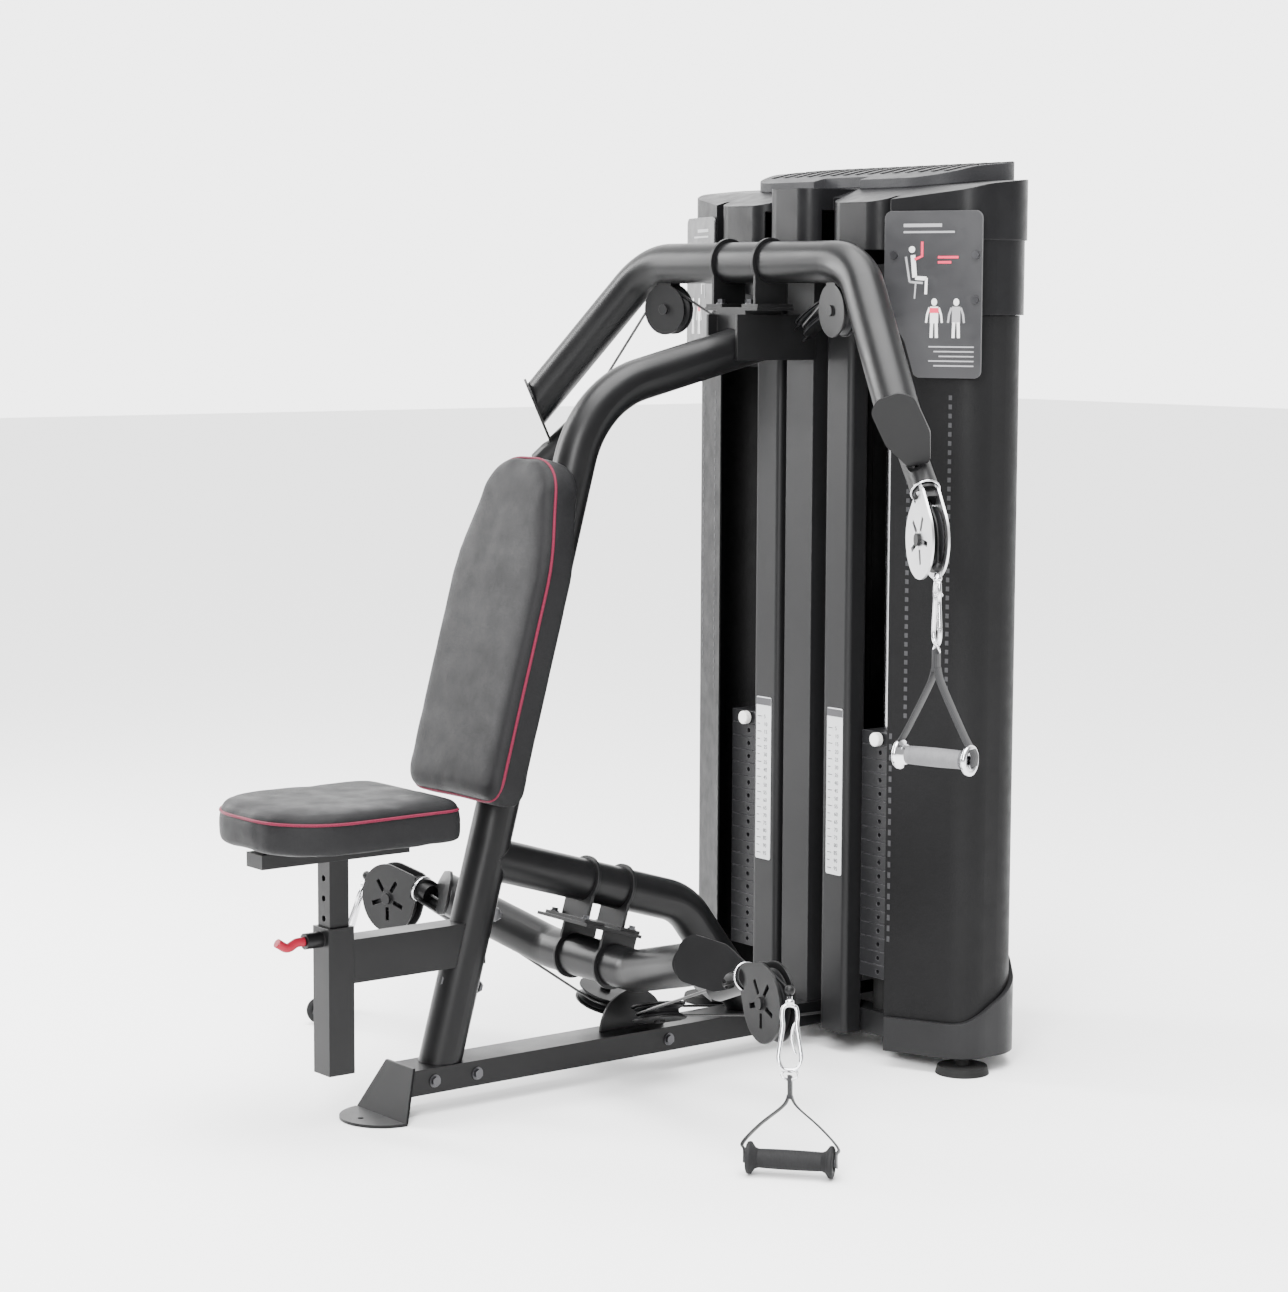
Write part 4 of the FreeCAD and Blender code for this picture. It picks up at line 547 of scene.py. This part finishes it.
def cushion(name, outline, thick, seam, to_world, body, node, swell=0.006, cap=0.004):
    """A pressed vinyl cushion: inflated by cloth, with a seam pulled in along its side."""
    inset = 0.007
    centre = sum(outline, Vector((0, 0))) / len(outline)
    ring = [p - (p - centre).normalized() * inset for p in outline]
    count = len(ring)
    levels = [(0.004, 0.985), (0.010, 1.0), (thick - 0.024, 1.0), (thick - 0.012, 0.975),
              (thick - 0.006, 0.93)]
    verts, faces = [], []
    for height, share in levels:
        verts += [Vector(((p - centre).x * share + centre.x, (p - centre).y * share + centre.y, height))
                  for p in ring]
    for level in range(len(levels) - 1):
        for k in range(count):
            after = (k + 1) % count
            faces.append((level * count + k, level * count + after,
                          (level + 1) * count + after, (level + 1) * count + k))
    faces.append(tuple(range(count))[::-1])
    faces.append(tuple(range((len(levels) - 1) * count, len(levels) * count)))
    piece = piece_from(name, verts, faces, M["vinyl"], body)
    bpy.context.view_layer.objects.active = piece
    remesh = piece.modifiers.new("remesh", "REMESH")
    remesh.mode = "VOXEL"
    remesh.voxel_size = 0.0055
    bpy.ops.object.modifier_apply(modifier="remesh")
    rest = [vertex.co.copy() for vertex in piece.data.vertices]
    cloth = piece.modifiers.new("cloth", "CLOTH")
    cloth.settings.use_pressure = True
    cloth.settings.uniform_pressure_force = 4.0
    cloth.settings.effector_weights.gravity = 0.0
    cloth.settings.quality = 5
    cloth.settings.tension_stiffness = 18
    cloth.settings.compression_stiffness = 18
    cloth.settings.mass = 0.3
    cloth.point_cache.frame_start = 1
    cloth.point_cache.frame_end = CLOTH_FRAMES
    for step in range(1, CLOTH_FRAMES + 1):
        bpy.context.scene.frame_set(step)
    bpy.ops.object.modifier_apply(modifier="cloth")
    bpy.context.scene.frame_set(1)
    for vertex, start in zip(piece.data.vertices, rest):
        move = (vertex.co - start) * CLOTH_SHARE
        if move.length > cap:
            move = move.normalized() * cap
        place = start + move
        place.z = max(place.z, 0.001)
        side = Vector((place.x, place.y)) - centre
        pull = math.exp(-((place.z - seam) / SEAM_WIDTH) ** 2)
        share = side.length / max(reach_of(outline, centre, side), 1e-6)
        reach = min(1.0, max(0.0, (share - 0.9) / 0.06))
        side = side.normalized() * pull * reach * SEAM_DEPTH
        crown = 0.005 * max(0.0, 1 - ((place.x - centre.x) / 0.19) ** 2) if place.z > thick - 0.02 else 0.0
        vertex.co = Vector((place.x - side.x, place.y - side.y, min(place.z + crown * 0.6, thick + swell)))
    for vertex in piece.data.vertices:
        vertex.co = to_world @ vertex.co
    smooth = piece.modifiers.new("smooth", "SMOOTH")
    smooth.factor = 0.5
    smooth.iterations = 14
    bpy.ops.object.modifier_apply(modifier="smooth")
    refine = piece.modifiers.new("refine", "SUBSURF")
    refine.levels = 1
    refine.render_levels = 1
    for polygon in piece.data.polygons:
        polygon.use_smooth = True
    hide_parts(node)
    return piece


def piping(name, cushion_piece, outline, height, to_world, body, radius=0.0026):
    """A welt cord laid on the cushion's seam."""
    centre = sum(outline, Vector((0, 0))) / len(outline)
    tree = BVHTree.FromObject(cushion_piece, bpy.context.evaluated_depsgraph_get())
    path = []
    for point in resample(outline, 150):
        outward = point - centre
        start = Vector((centre.x + outward.x * 1.4, centre.y + outward.y * 1.4, height))
        aim = Vector((centre.x, centre.y, height)) - start
        world_start = to_world @ start
        hit, normal, index, distance = tree.ray_cast(world_start, (to_world.to_3x3() @ aim).normalized())
        if hit is None:
            hit = to_world @ Vector((point.x, point.y, height))
        path.append(hit - (to_world.to_3x3() @ aim).normalized() * radius * 0.35)
    count = len(path)
    path = [(path[k - 2] + path[k - 1] * 2 + path[k] * 3 + path[(k + 1) % count] * 2
             + path[(k + 2) % count]) / 9 for k in range(count)]
    up = to_world.to_3x3() @ Vector((0, 0, 1))
    return sweep(name, path, round_section(radius, 10), lambda t: up, M["piping"], body, closed=True)


SEAT_LOW, SEAT_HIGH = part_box("seat_pad")
half, rear_half, corner = 0.168, 0.158, 0.128
seat_outline = rounded_outline(
    [(-half, SEAT_LOW.y), (half, SEAT_LOW.y), (half, SEAT_LOW.y + 0.19), (rear_half, SEAT_HIGH.y),
     (-rear_half, SEAT_HIGH.y), (-half, SEAT_LOW.y + 0.19)], [corner, corner, 0.26, 0.028, 0.028, 0.26])
SEAT_THICK = SEAT_HIGH.z - SEAT_LOW.z
SEAT_SEAM = SEAT_THICK * 0.74
seat_world = Matrix.Translation((0, 0, SEAT_LOW.z))
seat_cushion = cushion("seat_cushion", seat_outline, SEAT_THICK, SEAT_SEAM, seat_world, "seat", "seat_pad")
piping("seat_piping", seat_cushion, seat_outline, SEAT_SEAM, seat_world, "seat")

COLUMN_LEAN = 0.2792
COLUMN_FOOT_Y, COLUMN_FOOT_Z = -0.391, 0.083
BACK_FROM = 0.516
BACK_LENGTH, BACK_HALF, BACK_THICK, BACK_OFF = 0.632, 0.150, 0.078, 0.0421
column_up = Vector((0, COLUMN_LEAN, 1)).normalized()
back_normal = Vector((0, -column_up.z, column_up.y))
back_origin = Vector((0, COLUMN_FOOT_Y + COLUMN_LEAN * (BACK_FROM - COLUMN_FOOT_Z), BACK_FROM))
back_origin += back_normal * BACK_OFF
back_world = Matrix(((1, 0, 0, 0), (0, column_up.y, back_normal.y, back_origin.y),
                     (0, column_up.z, back_normal.z, back_origin.z), (0, 0, 0, 1)))
back_outline = rounded_outline(
    [(-BACK_HALF + 0.006, 0), (BACK_HALF - 0.006, 0), (BACK_HALF, 0.435), (BACK_HALF - 0.062, BACK_LENGTH),
     (-BACK_HALF + 0.062, BACK_LENGTH), (-BACK_HALF, 0.435)], [0.034, 0.034, 0.33, 0.082, 0.082, 0.33])
BACK_SEAM = BACK_THICK * 0.72
back_cushion = cushion("back_cushion", back_outline, BACK_THICK, BACK_SEAM, back_world, "frame", "back_pad")
piping("back_piping", back_cushion, back_outline, BACK_SEAM, back_world, "frame")


# ---------------------------------------------------------------- handles
LOWER_LEAN = math.radians(18.8)
LEAN_TOWARD = Vector((0.79, -0.62, 0)).normalized()
SNAP_GAP, SNAP_LENGTH = 0.021, 0.114
GRIP_HALF, GRIP_RADIUS, FLANGE_RADIUS, FLANGE_THICK = 0.064, 0.015, 0.027, 0.008
LEVELS = {
    "upper": {"lean": 0.0, "reach": 0.325, "grip": Vector((0.953, 0.298, 0)).normalized(),
              "hook": Vector((0.9, -0.44, 0)).normalized(), "look": "grip", "slack": 0.0},
    "lower": {"lean": LOWER_LEAN, "reach": 0.2757, "grip": Vector((0.76, 0.65, 0)).normalized(),
              "hook": Vector((0.613, 0.79, 0)).normalized(), "look": "grip_dark", "slack": 0.02},
}


def snap_hook(label, ball, hang, side, body):
    """A polished snap hook: swivel eye, pear-shaped body, spring gate and strap ring."""
    across = hang.cross(side)

    def spot(sideways, along, out=0.0):
        return ball + side * sideways + hang * along + across * out

    revolve(label + "_swivel_eye", [(0.0095, 0.0035), (0.0098, 0.0055), (0.016, 0.0058), (0.0165, 0.0075),
                                    (0.0205, 0.0078), (0.024, 0.006), (0.026, 0.003)],
            ball, hang, M["chrome"], body, 24)
    top, end = SNAP_GAP + 0.003, SNAP_GAP + SNAP_LENGTH - 0.004
    body_points = [spot(0, top), spot(0.010, top + 0.004), spot(0.0125, top + 0.018),
                   spot(0.0115, top + 0.034),
                   spot(0.0155, top + 0.062), spot(0.0185, end - 0.018), spot(0.012, end - 0.003),
                   spot(0, end), spot(-0.012, end - 0.003), spot(-0.0185, end - 0.018),
                   spot(-0.0155, top + 0.062), spot(-0.0115, top + 0.034), spot(-0.0125, top + 0.018),
                   spot(-0.010, top + 0.004)]
    sweep(label + "_hook_body", smooth_path(body_points, 6, True), round_section(0.0038, 12),
          lambda t: across, M["chrome"], body, closed=True)
    gate = smooth_path([spot(0.0125, top + 0.022), spot(0.005, top + 0.040), spot(0.0035, top + 0.060),
                        spot(0.010, top + 0.082)], 6)
    sweep(label + "_hook_gate", gate, round_section(0.0026, 10), lambda t: across, M["chrome"], body)
    for out in (-0.004, 0.004):
        revolve(label + "_gate_pin_%s" % ("a" if out < 0 else "b"),
                [(0, 0.003), (0.0012, 0.003), (0.0018, 0.002)],
                spot(0.0125, top + 0.022, out), across * (1 if out > 0 else -1), M["chrome"], body, 14)
    ring = [spot(0.0135 * math.sin(a), end + 0.007 - 0.0085 * math.cos(a), 0.002 * math.sin(2 * a))
            for a in (2 * math.pi * k / 12 for k in range(12))]
    sweep(label + "_strap_ring", smooth_path(ring, 4, True), round_section(0.0022, 10), lambda t: across,
          M["chrome"], body, closed=True)
    return spot(0, end + 0.012)


def handle(level, side_name):
    """One strap handle: hook, folded webbing yoke with stitched throat, flanged grip."""
    spec, side = LEVELS[level], SIDES[side_name]
    label = level + "_" + side_name
    body = label + "_handle_body"
    ball = Vector(JOINTS[label + "_handle_swing"]["pos_m"])
    hang = on_side(side, LEAN_TOWARD) * math.sin(spec["lean"]) - Vector((0, 0, math.cos(spec["lean"])))
    hook_side = on_side(side, spec["hook"])
    hook_side = (hook_side - hang * hook_side.dot(hang)).normalized()
    grip_along = on_side(side, spec["grip"])
    grip_centre = ball + hang * spec["reach"]
    throat = snap_hook(label, ball, hang, hook_side, body)
    across = hang.cross(grip_along).normalized()
    fold = throat + hang * 0.034
    sweep(label + "_strap_throat", smooth_path([throat - hang * 0.004, throat + hang * 0.008, fold], 5),
          strap_section(0.025, 0.0062), lambda t: across, M["web"], body)
    reach = GRIP_HALF + FLANGE_THICK + 0.0035
    for sign in (-1, 1):
        lower = grip_centre + grip_along * (sign * reach)
        run = lower - fold
        bow = grip_along * (sign * spec["slack"])
        points = [fold - hang * 0.006 + grip_along * (sign * 0.0022), fold + run * 0.12 + bow * 0.1,
                  fold + run * 0.45 + bow * 0.8, fold + run * 0.8 + bow * 0.9 - hang * 0.004,
                  lower - hang * 0.012, lower + hang * 0.009]
        sweep("%s_strap_leg_%s" % (label, "a" if sign < 0 else "b"), smooth_path(points, 7),
              strap_section(0.0245, 0.0026), lambda t: across, M["web"], body)
        face = grip_centre + grip_along * (sign * (GRIP_HALF - 0.002))
        flange = [(-0.010, GRIP_RADIUS + 0.0005), (-0.004, GRIP_RADIUS + 0.003), (0.0, FLANGE_RADIUS - 0.004),
                  (0.002, FLANGE_RADIUS - 0.0008), (0.005, FLANGE_RADIUS), (0.0085, FLANGE_RADIUS - 0.001),
                  (0.010, FLANGE_RADIUS - 0.004), (0.0100, 0.0155), (0.0075, 0.0145), (0.0072, 0.004)]
        revolve("%s_grip_flange_%s" % (label, "a" if sign < 0 else "b"), flange, face, grip_along * sign,
                M["grip_dark"] if level == "lower" else M["chrome"], body, 40)
        revolve("%s_end_bolt_%s" % (label, "a" if sign < 0 else "b"),
                [(0.0, 0.0075), (0.007, 0.0075), (0.0085, 0.006), (0.009, 0.002)],
                grip_centre + grip_along * (sign * (GRIP_HALF + FLANGE_THICK - 0.004)), grip_along * sign,
                M["bolt"], body, 20)
    ribs = 26
    profile = []
    for k in range(ribs * 4 + 1):
        along = -GRIP_HALF + 2 * GRIP_HALF * k / (ribs * 4)
        belly = 0.0012 * (1 - (along / GRIP_HALF) ** 2)
        profile.append((along, GRIP_RADIUS + belly + (0.0004 if k % 4 in (1, 2) else 0.0)))
    grip = revolve(label + "_grip", profile, grip_centre, grip_along, M[spec["look"]], body, 40)
    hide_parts(label + "_handle")


for level in LEVELS:
    for side_name in SIDES:
        handle(level, side_name)


# ---------------------------------------------------------------- information plates
FRONT_Y = 0.435
CORNER_FROM = Vector((0.245, 0.437, 0))
CORNER_TO = Vector((0.400, 0.503, 0))
PLACARD_LOW, PLACARD_HIGH = 1.280, 1.579
PLACARD_START, PLACARD_END, PLACARD_OFF = -0.008, 0.184, 0.015


def placard_matrix(side):
    along = (CORNER_TO - CORNER_FROM).normalized()
    outward = Vector((along.y, -along.x, 0))
    origin = CORNER_FROM + outward * PLACARD_OFF
    along, outward, origin = on_side(side, along), on_side(side, outward), on_side(side, origin)
    return Matrix(((along.x, 0, outward.x, origin.x), (along.y, 0, outward.y, origin.y), (0, 1, 0, 0),
                   (0, 0, 0, 1)))


def limb(name, points, width, to_world, material, lift):
    """A flat rounded stroke of a pictogram."""
    outline = []
    points = [Vector(point) for point in points]
    for index, point in enumerate(points):
        ahead = points[min(index + 1, len(points) - 1)] - points[max(index - 1, 0)]
        outline.append((point, Vector((-ahead.y, ahead.x)).normalized() * width / 2))
    loop = [p + n for p, n in outline] + [p - n for p, n in reversed(outline)]
    return plate_from(name, loop, 0.0003, to_world, material, "frame", lift=lift)


def disc(name, centre, radius, to_world, material, lift, squash=1.0):
    loop = [Vector((centre[0] + radius * math.cos(2 * math.pi * k / 24),
                    centre[1] + radius * squash * math.sin(2 * math.pi * k / 24))) for k in range(24)]
    return plate_from(name, loop, 0.0003, to_world, material, "frame", lift=lift)


def standing_figure(label, x, y, to_world, lift, lit):
    """A plain standing figure; one of the pair has its chest picked out."""
    body = "grey" if not lit else "white"
    disc(label + "_head", (x, y + 0.064), 0.0055, to_world, M["white"], lift, 1.2)
    limb(label + "_trunk", [(x, y + 0.056), (x, y + 0.046), (x, y + 0.026)], 0.016, to_world, M[body], lift)
    for sign in (-1, 1):
        limb("%s_arm_%d" % (label, sign > 0), [(x + sign * 0.009, y + 0.054), (x + sign * 0.0135, y + 0.042),
             (x + sign * 0.0155, y + 0.027)], 0.004, to_world, M[body], lift + 0.0001)
        limb("%s_leg_%d" % (label, sign > 0), [(x + sign * 0.0042, y + 0.028), (x + sign * 0.0048, y + 0.014),
             (x + sign * 0.0052, y)], 0.0058, to_world, M["white"], lift + 0.0001)
    if lit:
        limb(label + "_chest", [(x - 0.009, y + 0.049), (x + 0.009, y + 0.049)], 0.009, to_world, M["accent"],
             lift + 0.0002)


def placard(side_name):
    side = SIDES[side_name]
    to_world = placard_matrix(side)
    outline = rounded_outline(
        [(PLACARD_START + 0.062, PLACARD_LOW), (PLACARD_END, PLACARD_LOW), (PLACARD_END, PLACARD_HIGH),
         (PLACARD_START, PLACARD_HIGH), (PLACARD_START, PLACARD_LOW + 0.12),
         (PLACARD_START + 0.04, PLACARD_LOW + 0.07)], [0.014, 0.014, 0.014, 0.014, 0.04, 0.06])
    plate = plate_from(side_name + "_placard", outline, 0.004, to_world, M["placard"], "frame")
    soften(plate, 0.0009, 2)
    if side > 0:
        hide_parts("information_plates")
    lift = 0.0042
    label = side_name + "_placard"
    for k, (x, width) in enumerate(((0.030, 0.075), (0.030, 0.100))):
        limb("%s_title_bar_%d" % (label, k), [(x, 1.553 - 0.012 * k), (x + width, 1.553 - 0.012 * k)],
             0.006 if k == 0 else 0.0035, to_world, M["grey"], lift)
    x, y = 0.055, 1.452
    limb(label + "_bench_back", [(x - 0.012, y), (x - 0.020, y + 0.045)], 0.004, to_world, M["grey"], lift)
    limb(label + "_bench_seat", [(x - 0.012, y), (x + 0.014, y - 0.002)], 0.004, to_world, M["grey"], lift)
    limb(label + "_bench_leg", [(x, y - 0.002), (x - 0.002, y - 0.03)], 0.003, to_world, M["grey"], lift)
    disc(label + "_user_head", (x - 0.008, y + 0.058), 0.006, to_world, M["white"], lift)
    for part, width, points in (("trunk", 0.009, [(x - 0.006, y + 0.048), (x - 0.002, y + 0.008)]),
                                ("thigh", 0.007, [(x - 0.001, y + 0.007), (x + 0.021, y + 0.006)]),
                                ("shin", 0.005, [(x + 0.021, y + 0.007), (x + 0.020, y - 0.022)])):
        limb("%s_user_%s" % (label, part), points, width, to_world, M["white"], lift)
    limb(label + "_user_arm", [(x - 0.003, y + 0.040), (x + 0.012, y + 0.046), (x + 0.012, y + 0.072)], 0.005,
         to_world, M["accent"], lift + 0.0001)
    for k, width in enumerate((0.040, 0.026)):
        height = 1.496 - 0.009 * k
        limb("%s_motion_bar_%d" % (label, k), [(0.098, height), (0.098 + width, height)], 0.0045, to_world,
             M["accent"], lift)
    standing_figure(label + "_figure_a", 0.092, 1.352, to_world, lift, True)
    standing_figure(label + "_figure_b", 0.135, 1.352, to_world, lift, False)
    for k in range(5):
        height = 1.336 - 0.0085 * k
        limb("%s_note_bar_%d" % (label, k), [(0.082 + 0.010 * (k % 3), height), (0.170, height)], 0.0024,
             to_world, M["grey"], lift)


for side_name in SIDES:
    placard(side_name)


def stack_strip(side_name):
    """A weight scale on the label post: a pale film with rows of ticks and numbers."""
    side = SIDES[side_name]
    low, high = 0.340, 0.657
    centre_x = side * 0.104
    to_world = Matrix(((1, 0, 0, centre_x), (0, 0, -1, FRONT_Y - 0.0002), (0, 1, 0, 0), (0, 0, 0, 1)))
    outline = rounded_outline([(-0.022, low), (0.022, low), (0.022, high), (-0.022, high)], [0.004] * 4, 4)
    plate_from(side_name + "_stack_strip", outline, 0.0007, to_world, M["strip"], "frame")
    rows = 19
    for k in range(rows):
        height = low + 0.012 + (high - low - 0.05) * k / (rows - 1)
        limb("%s_strip_tick_%02d" % (side_name, k), [(-0.018, height), (-0.011 if k % 2 else -0.006, height)],
             0.0014, to_world, M["bolt"], 0.0008)
        number = bpy.data.curves.new("%s_strip_number_%02d" % (side_name, k), "FONT")
        number.body = str(5 * (rows - k))
        number.size = 0.0105
        number.extrude = 0.0001
        text = bpy.data.objects.new(number.name, number)
        bpy.context.scene.collection.objects.link(text)
        text.matrix_world = to_world @ Matrix.Translation((0.001, height - 0.0035, 0.0009))
        number.materials.append(M["bolt"])
        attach(text, "frame")
    band = high - 0.009
    limb(side_name + "_strip_band", [(-0.022, band), (0.022, band)], 0.014, to_world, M["bolt"], 0.0008)


for side_name in SIDES:
    stack_strip(side_name)


# ---------------------------------------------------------------- trim on the beams, shrouds and roof
def mouth_ring(level, side_name):
    """A polished ring round the mouth of a swivel stub."""
    turn = JOINTS["%s_%s_swivel" % (level, side_name)]
    centre, axis = Vector(turn["pos_m"]), Vector(turn["axis"]).normalized()
    first = axis.orthogonal().normalized()
    second = axis.cross(first)
    path = [centre - axis * 0.0012 + (first * math.cos(a) + second * math.sin(a)) * 0.0246
            for a in (2 * math.pi * k / 48 for k in range(48))]
    sweep("%s_%s_mouth_ring" % (level, side_name), path, round_section(0.0021, 10), lambda t: axis,
          M["chrome"], "frame", closed=True)


def dash_column(name, side, share, low, high, size=(0.007, 0.009), pitch=0.0165):
    """A column of small raised ticks on a shroud's slanted front."""
    along = (CORNER_TO - CORNER_FROM).normalized()
    outward = Vector((along.y, -along.x, 0))
    base = CORNER_FROM.lerp(CORNER_TO, share)
    verts, faces = [], []
    for k in range(int((high - low) / pitch)):
        middle = base + Vector((0, 0, low + pitch * k))
        start = len(verts)
        for lift, inset in ((-0.0002, 0.0), (0.0006, 0.0006)):
            for a, b in ((-1, -1), (1, -1), (1, 1), (-1, 1)):
                sideways, upward = a * (size[0] / 2 - inset), b * (size[1] / 2 - inset)
                corner = middle + along * sideways + Vector((0, 0, upward)) + outward * lift
                verts.append(on_side(side, corner))
        faces.append((start + 4, start + 5, start + 6, start + 7))
        faces += [(start + c, start + (c + 1) % 4, start + 4 + (c + 1) % 4, start + 4 + c) for c in range(4)]
    piece_from(name, verts, faces, M["dash"], "frame", smooth=False)


RIB_SECTION = [(0.007, -0.001), (0.005, 0.0016), (-0.005, 0.0016), (-0.007, -0.001)]


def tread_ribs():
    """Raised ribs on the roof insert, laid on its sloping top."""
    roof = BVHTree.FromObject(NODES["top_panel"], bpy.context.evaluated_depsgraph_get())
    for row in range(2):
        for k in range(15):
            x = -0.245 + 0.035 * k
            points = []
            for step in range(7):
                y = 0.565 + 0.088 * row + 0.011 * step
                here = Vector((x + 0.0024 * step, y, 2.0))
                hit = roof.ray_cast(here, Vector((0, 0, -1)))[0]
                if hit is not None:
                    points.append(hit + Vector((0, 0, 0.0006)))
            if len(points) > 4:
                sweep("tread_rib_%d_%02d" % (row, k), points, RIB_SECTION, lambda t: Vector((1, 0, 0)),
                      M["cover"], "frame")


for level in LEVELS:
    for side_name in SIDES:
        mouth_ring(level, side_name)
for side_name, side in SIDES.items():
    dash_column(side_name + "_dashes_inner", side, 0.22, 0.66, 1.265)
    dash_column(side_name + "_dashes_outer", side, 0.70, 0.70, 1.265)
    dash_column(side_name + "_dashes_edge", side, 0.05, 0.24, 0.64, (0.006, 0.011), 0.020)
tread_ribs()


# ---------------------------------------------------------------- studio
def area_light(name, place, aim, size, power, shape="RECTANGLE"):
    data = bpy.data.lights.new(name, "AREA")
    data.shape = shape
    data.size, data.size_y = size
    data.energy = power
    light = bpy.data.objects.new(name, data)
    bpy.context.scene.collection.objects.link(light)
    light.location = place
    light.rotation_euler = (Vector(aim) - Vector(place)).to_track_quat("-Z", "Y").to_euler()
    return light


def overhead_sun():
    """A broad light from above that keeps the whole floor pale."""
    data = bpy.data.lights.new("overhead_sun", "SUN")
    data.energy = 6.0
    data.angle = math.radians(60)
    sun = bpy.data.objects.new("overhead_sun", data)
    bpy.context.scene.collection.objects.link(sun)
    sun.rotation_euler = (math.radians(12), math.radians(10), 0)


def studio():
    """A pale floor, a room brighter beyond the machine, three soft boxes and a broad sun."""
    bpy.ops.mesh.primitive_plane_add(size=60, location=(0, 0, -0.0005))
    floor = bpy.context.object
    floor.name = "studio_floor"
    material, tree, bsdf = shader("floor_paper", (0.9, 0.9, 0.9), 0.85)
    bump(tree, bsdf, noise(tree, coordinates(tree), 300, 2), 0.02, 0.0005)
    floor.data.materials.append(material)
    world = bpy.data.worlds.new("studio_world")
    bpy.context.scene.world = world
    world.use_nodes = True
    tree = world.node_tree
    background = tree.nodes["Background"]
    background.inputs["Color"].default_value = (1, 1, 1, 1)
    facing = tree.nodes.new("ShaderNodeVectorMath")
    facing.operation = "DOT_PRODUCT"
    facing.inputs[1].default_value = (-0.79, 0.61, 0)
    tree.links.new(tree.nodes.new("ShaderNodeTexCoord").outputs["Generated"], facing.inputs[0])
    tree.links.new(mapped(tree, facing.outputs["Value"], 0.2, 0.9, 0.6, 4.4), background.inputs["Strength"])
    area_light("key_box", (3.2, -3.6, 3.0), (0, 0.1, 0.8), (1.2, 3.0), 420)
    area_light("side_box", (-3.4, -1.6, 2.4), (0, 0, 0.9), (0.9, 3.0), 260)
    area_light("top_box", (0.3, 0.2, 4.2), (0, 0.2, 0.8), (3.0, 3.0), 300)
    overhead_sun()


def camera():
    """The photograph's viewpoint, solved from the machine's own straight edges."""
    azimuth, down_angle, roll = math.radians(52.208), math.radians(6.301), math.radians(-0.249)
    forward = Vector((-math.sin(azimuth) * math.cos(down_angle), math.cos(azimuth) * math.cos(down_angle),
                      -math.sin(down_angle)))
    right = Vector((math.cos(azimuth), math.sin(azimuth), 0))
    down = -right.cross(forward)
    rolled_right = right * math.cos(roll) + down * math.sin(roll)
    rolled_down = down * math.cos(roll) - right * math.sin(roll)
    data = bpy.data.cameras.new("photo_camera")
    data.sensor_width = 36.0
    data.lens = 86.54
    data.clip_end = 200
    view = bpy.data.objects.new("photo_camera", data)
    bpy.context.scene.collection.objects.link(view)
    axes = Matrix((rolled_right, -rolled_down, -forward)).transposed().to_4x4()
    view.matrix_world = Matrix.Translation((4.458, -3.397, 1.412)) @ axes
    bpy.context.scene.camera = view


studio()
camera()
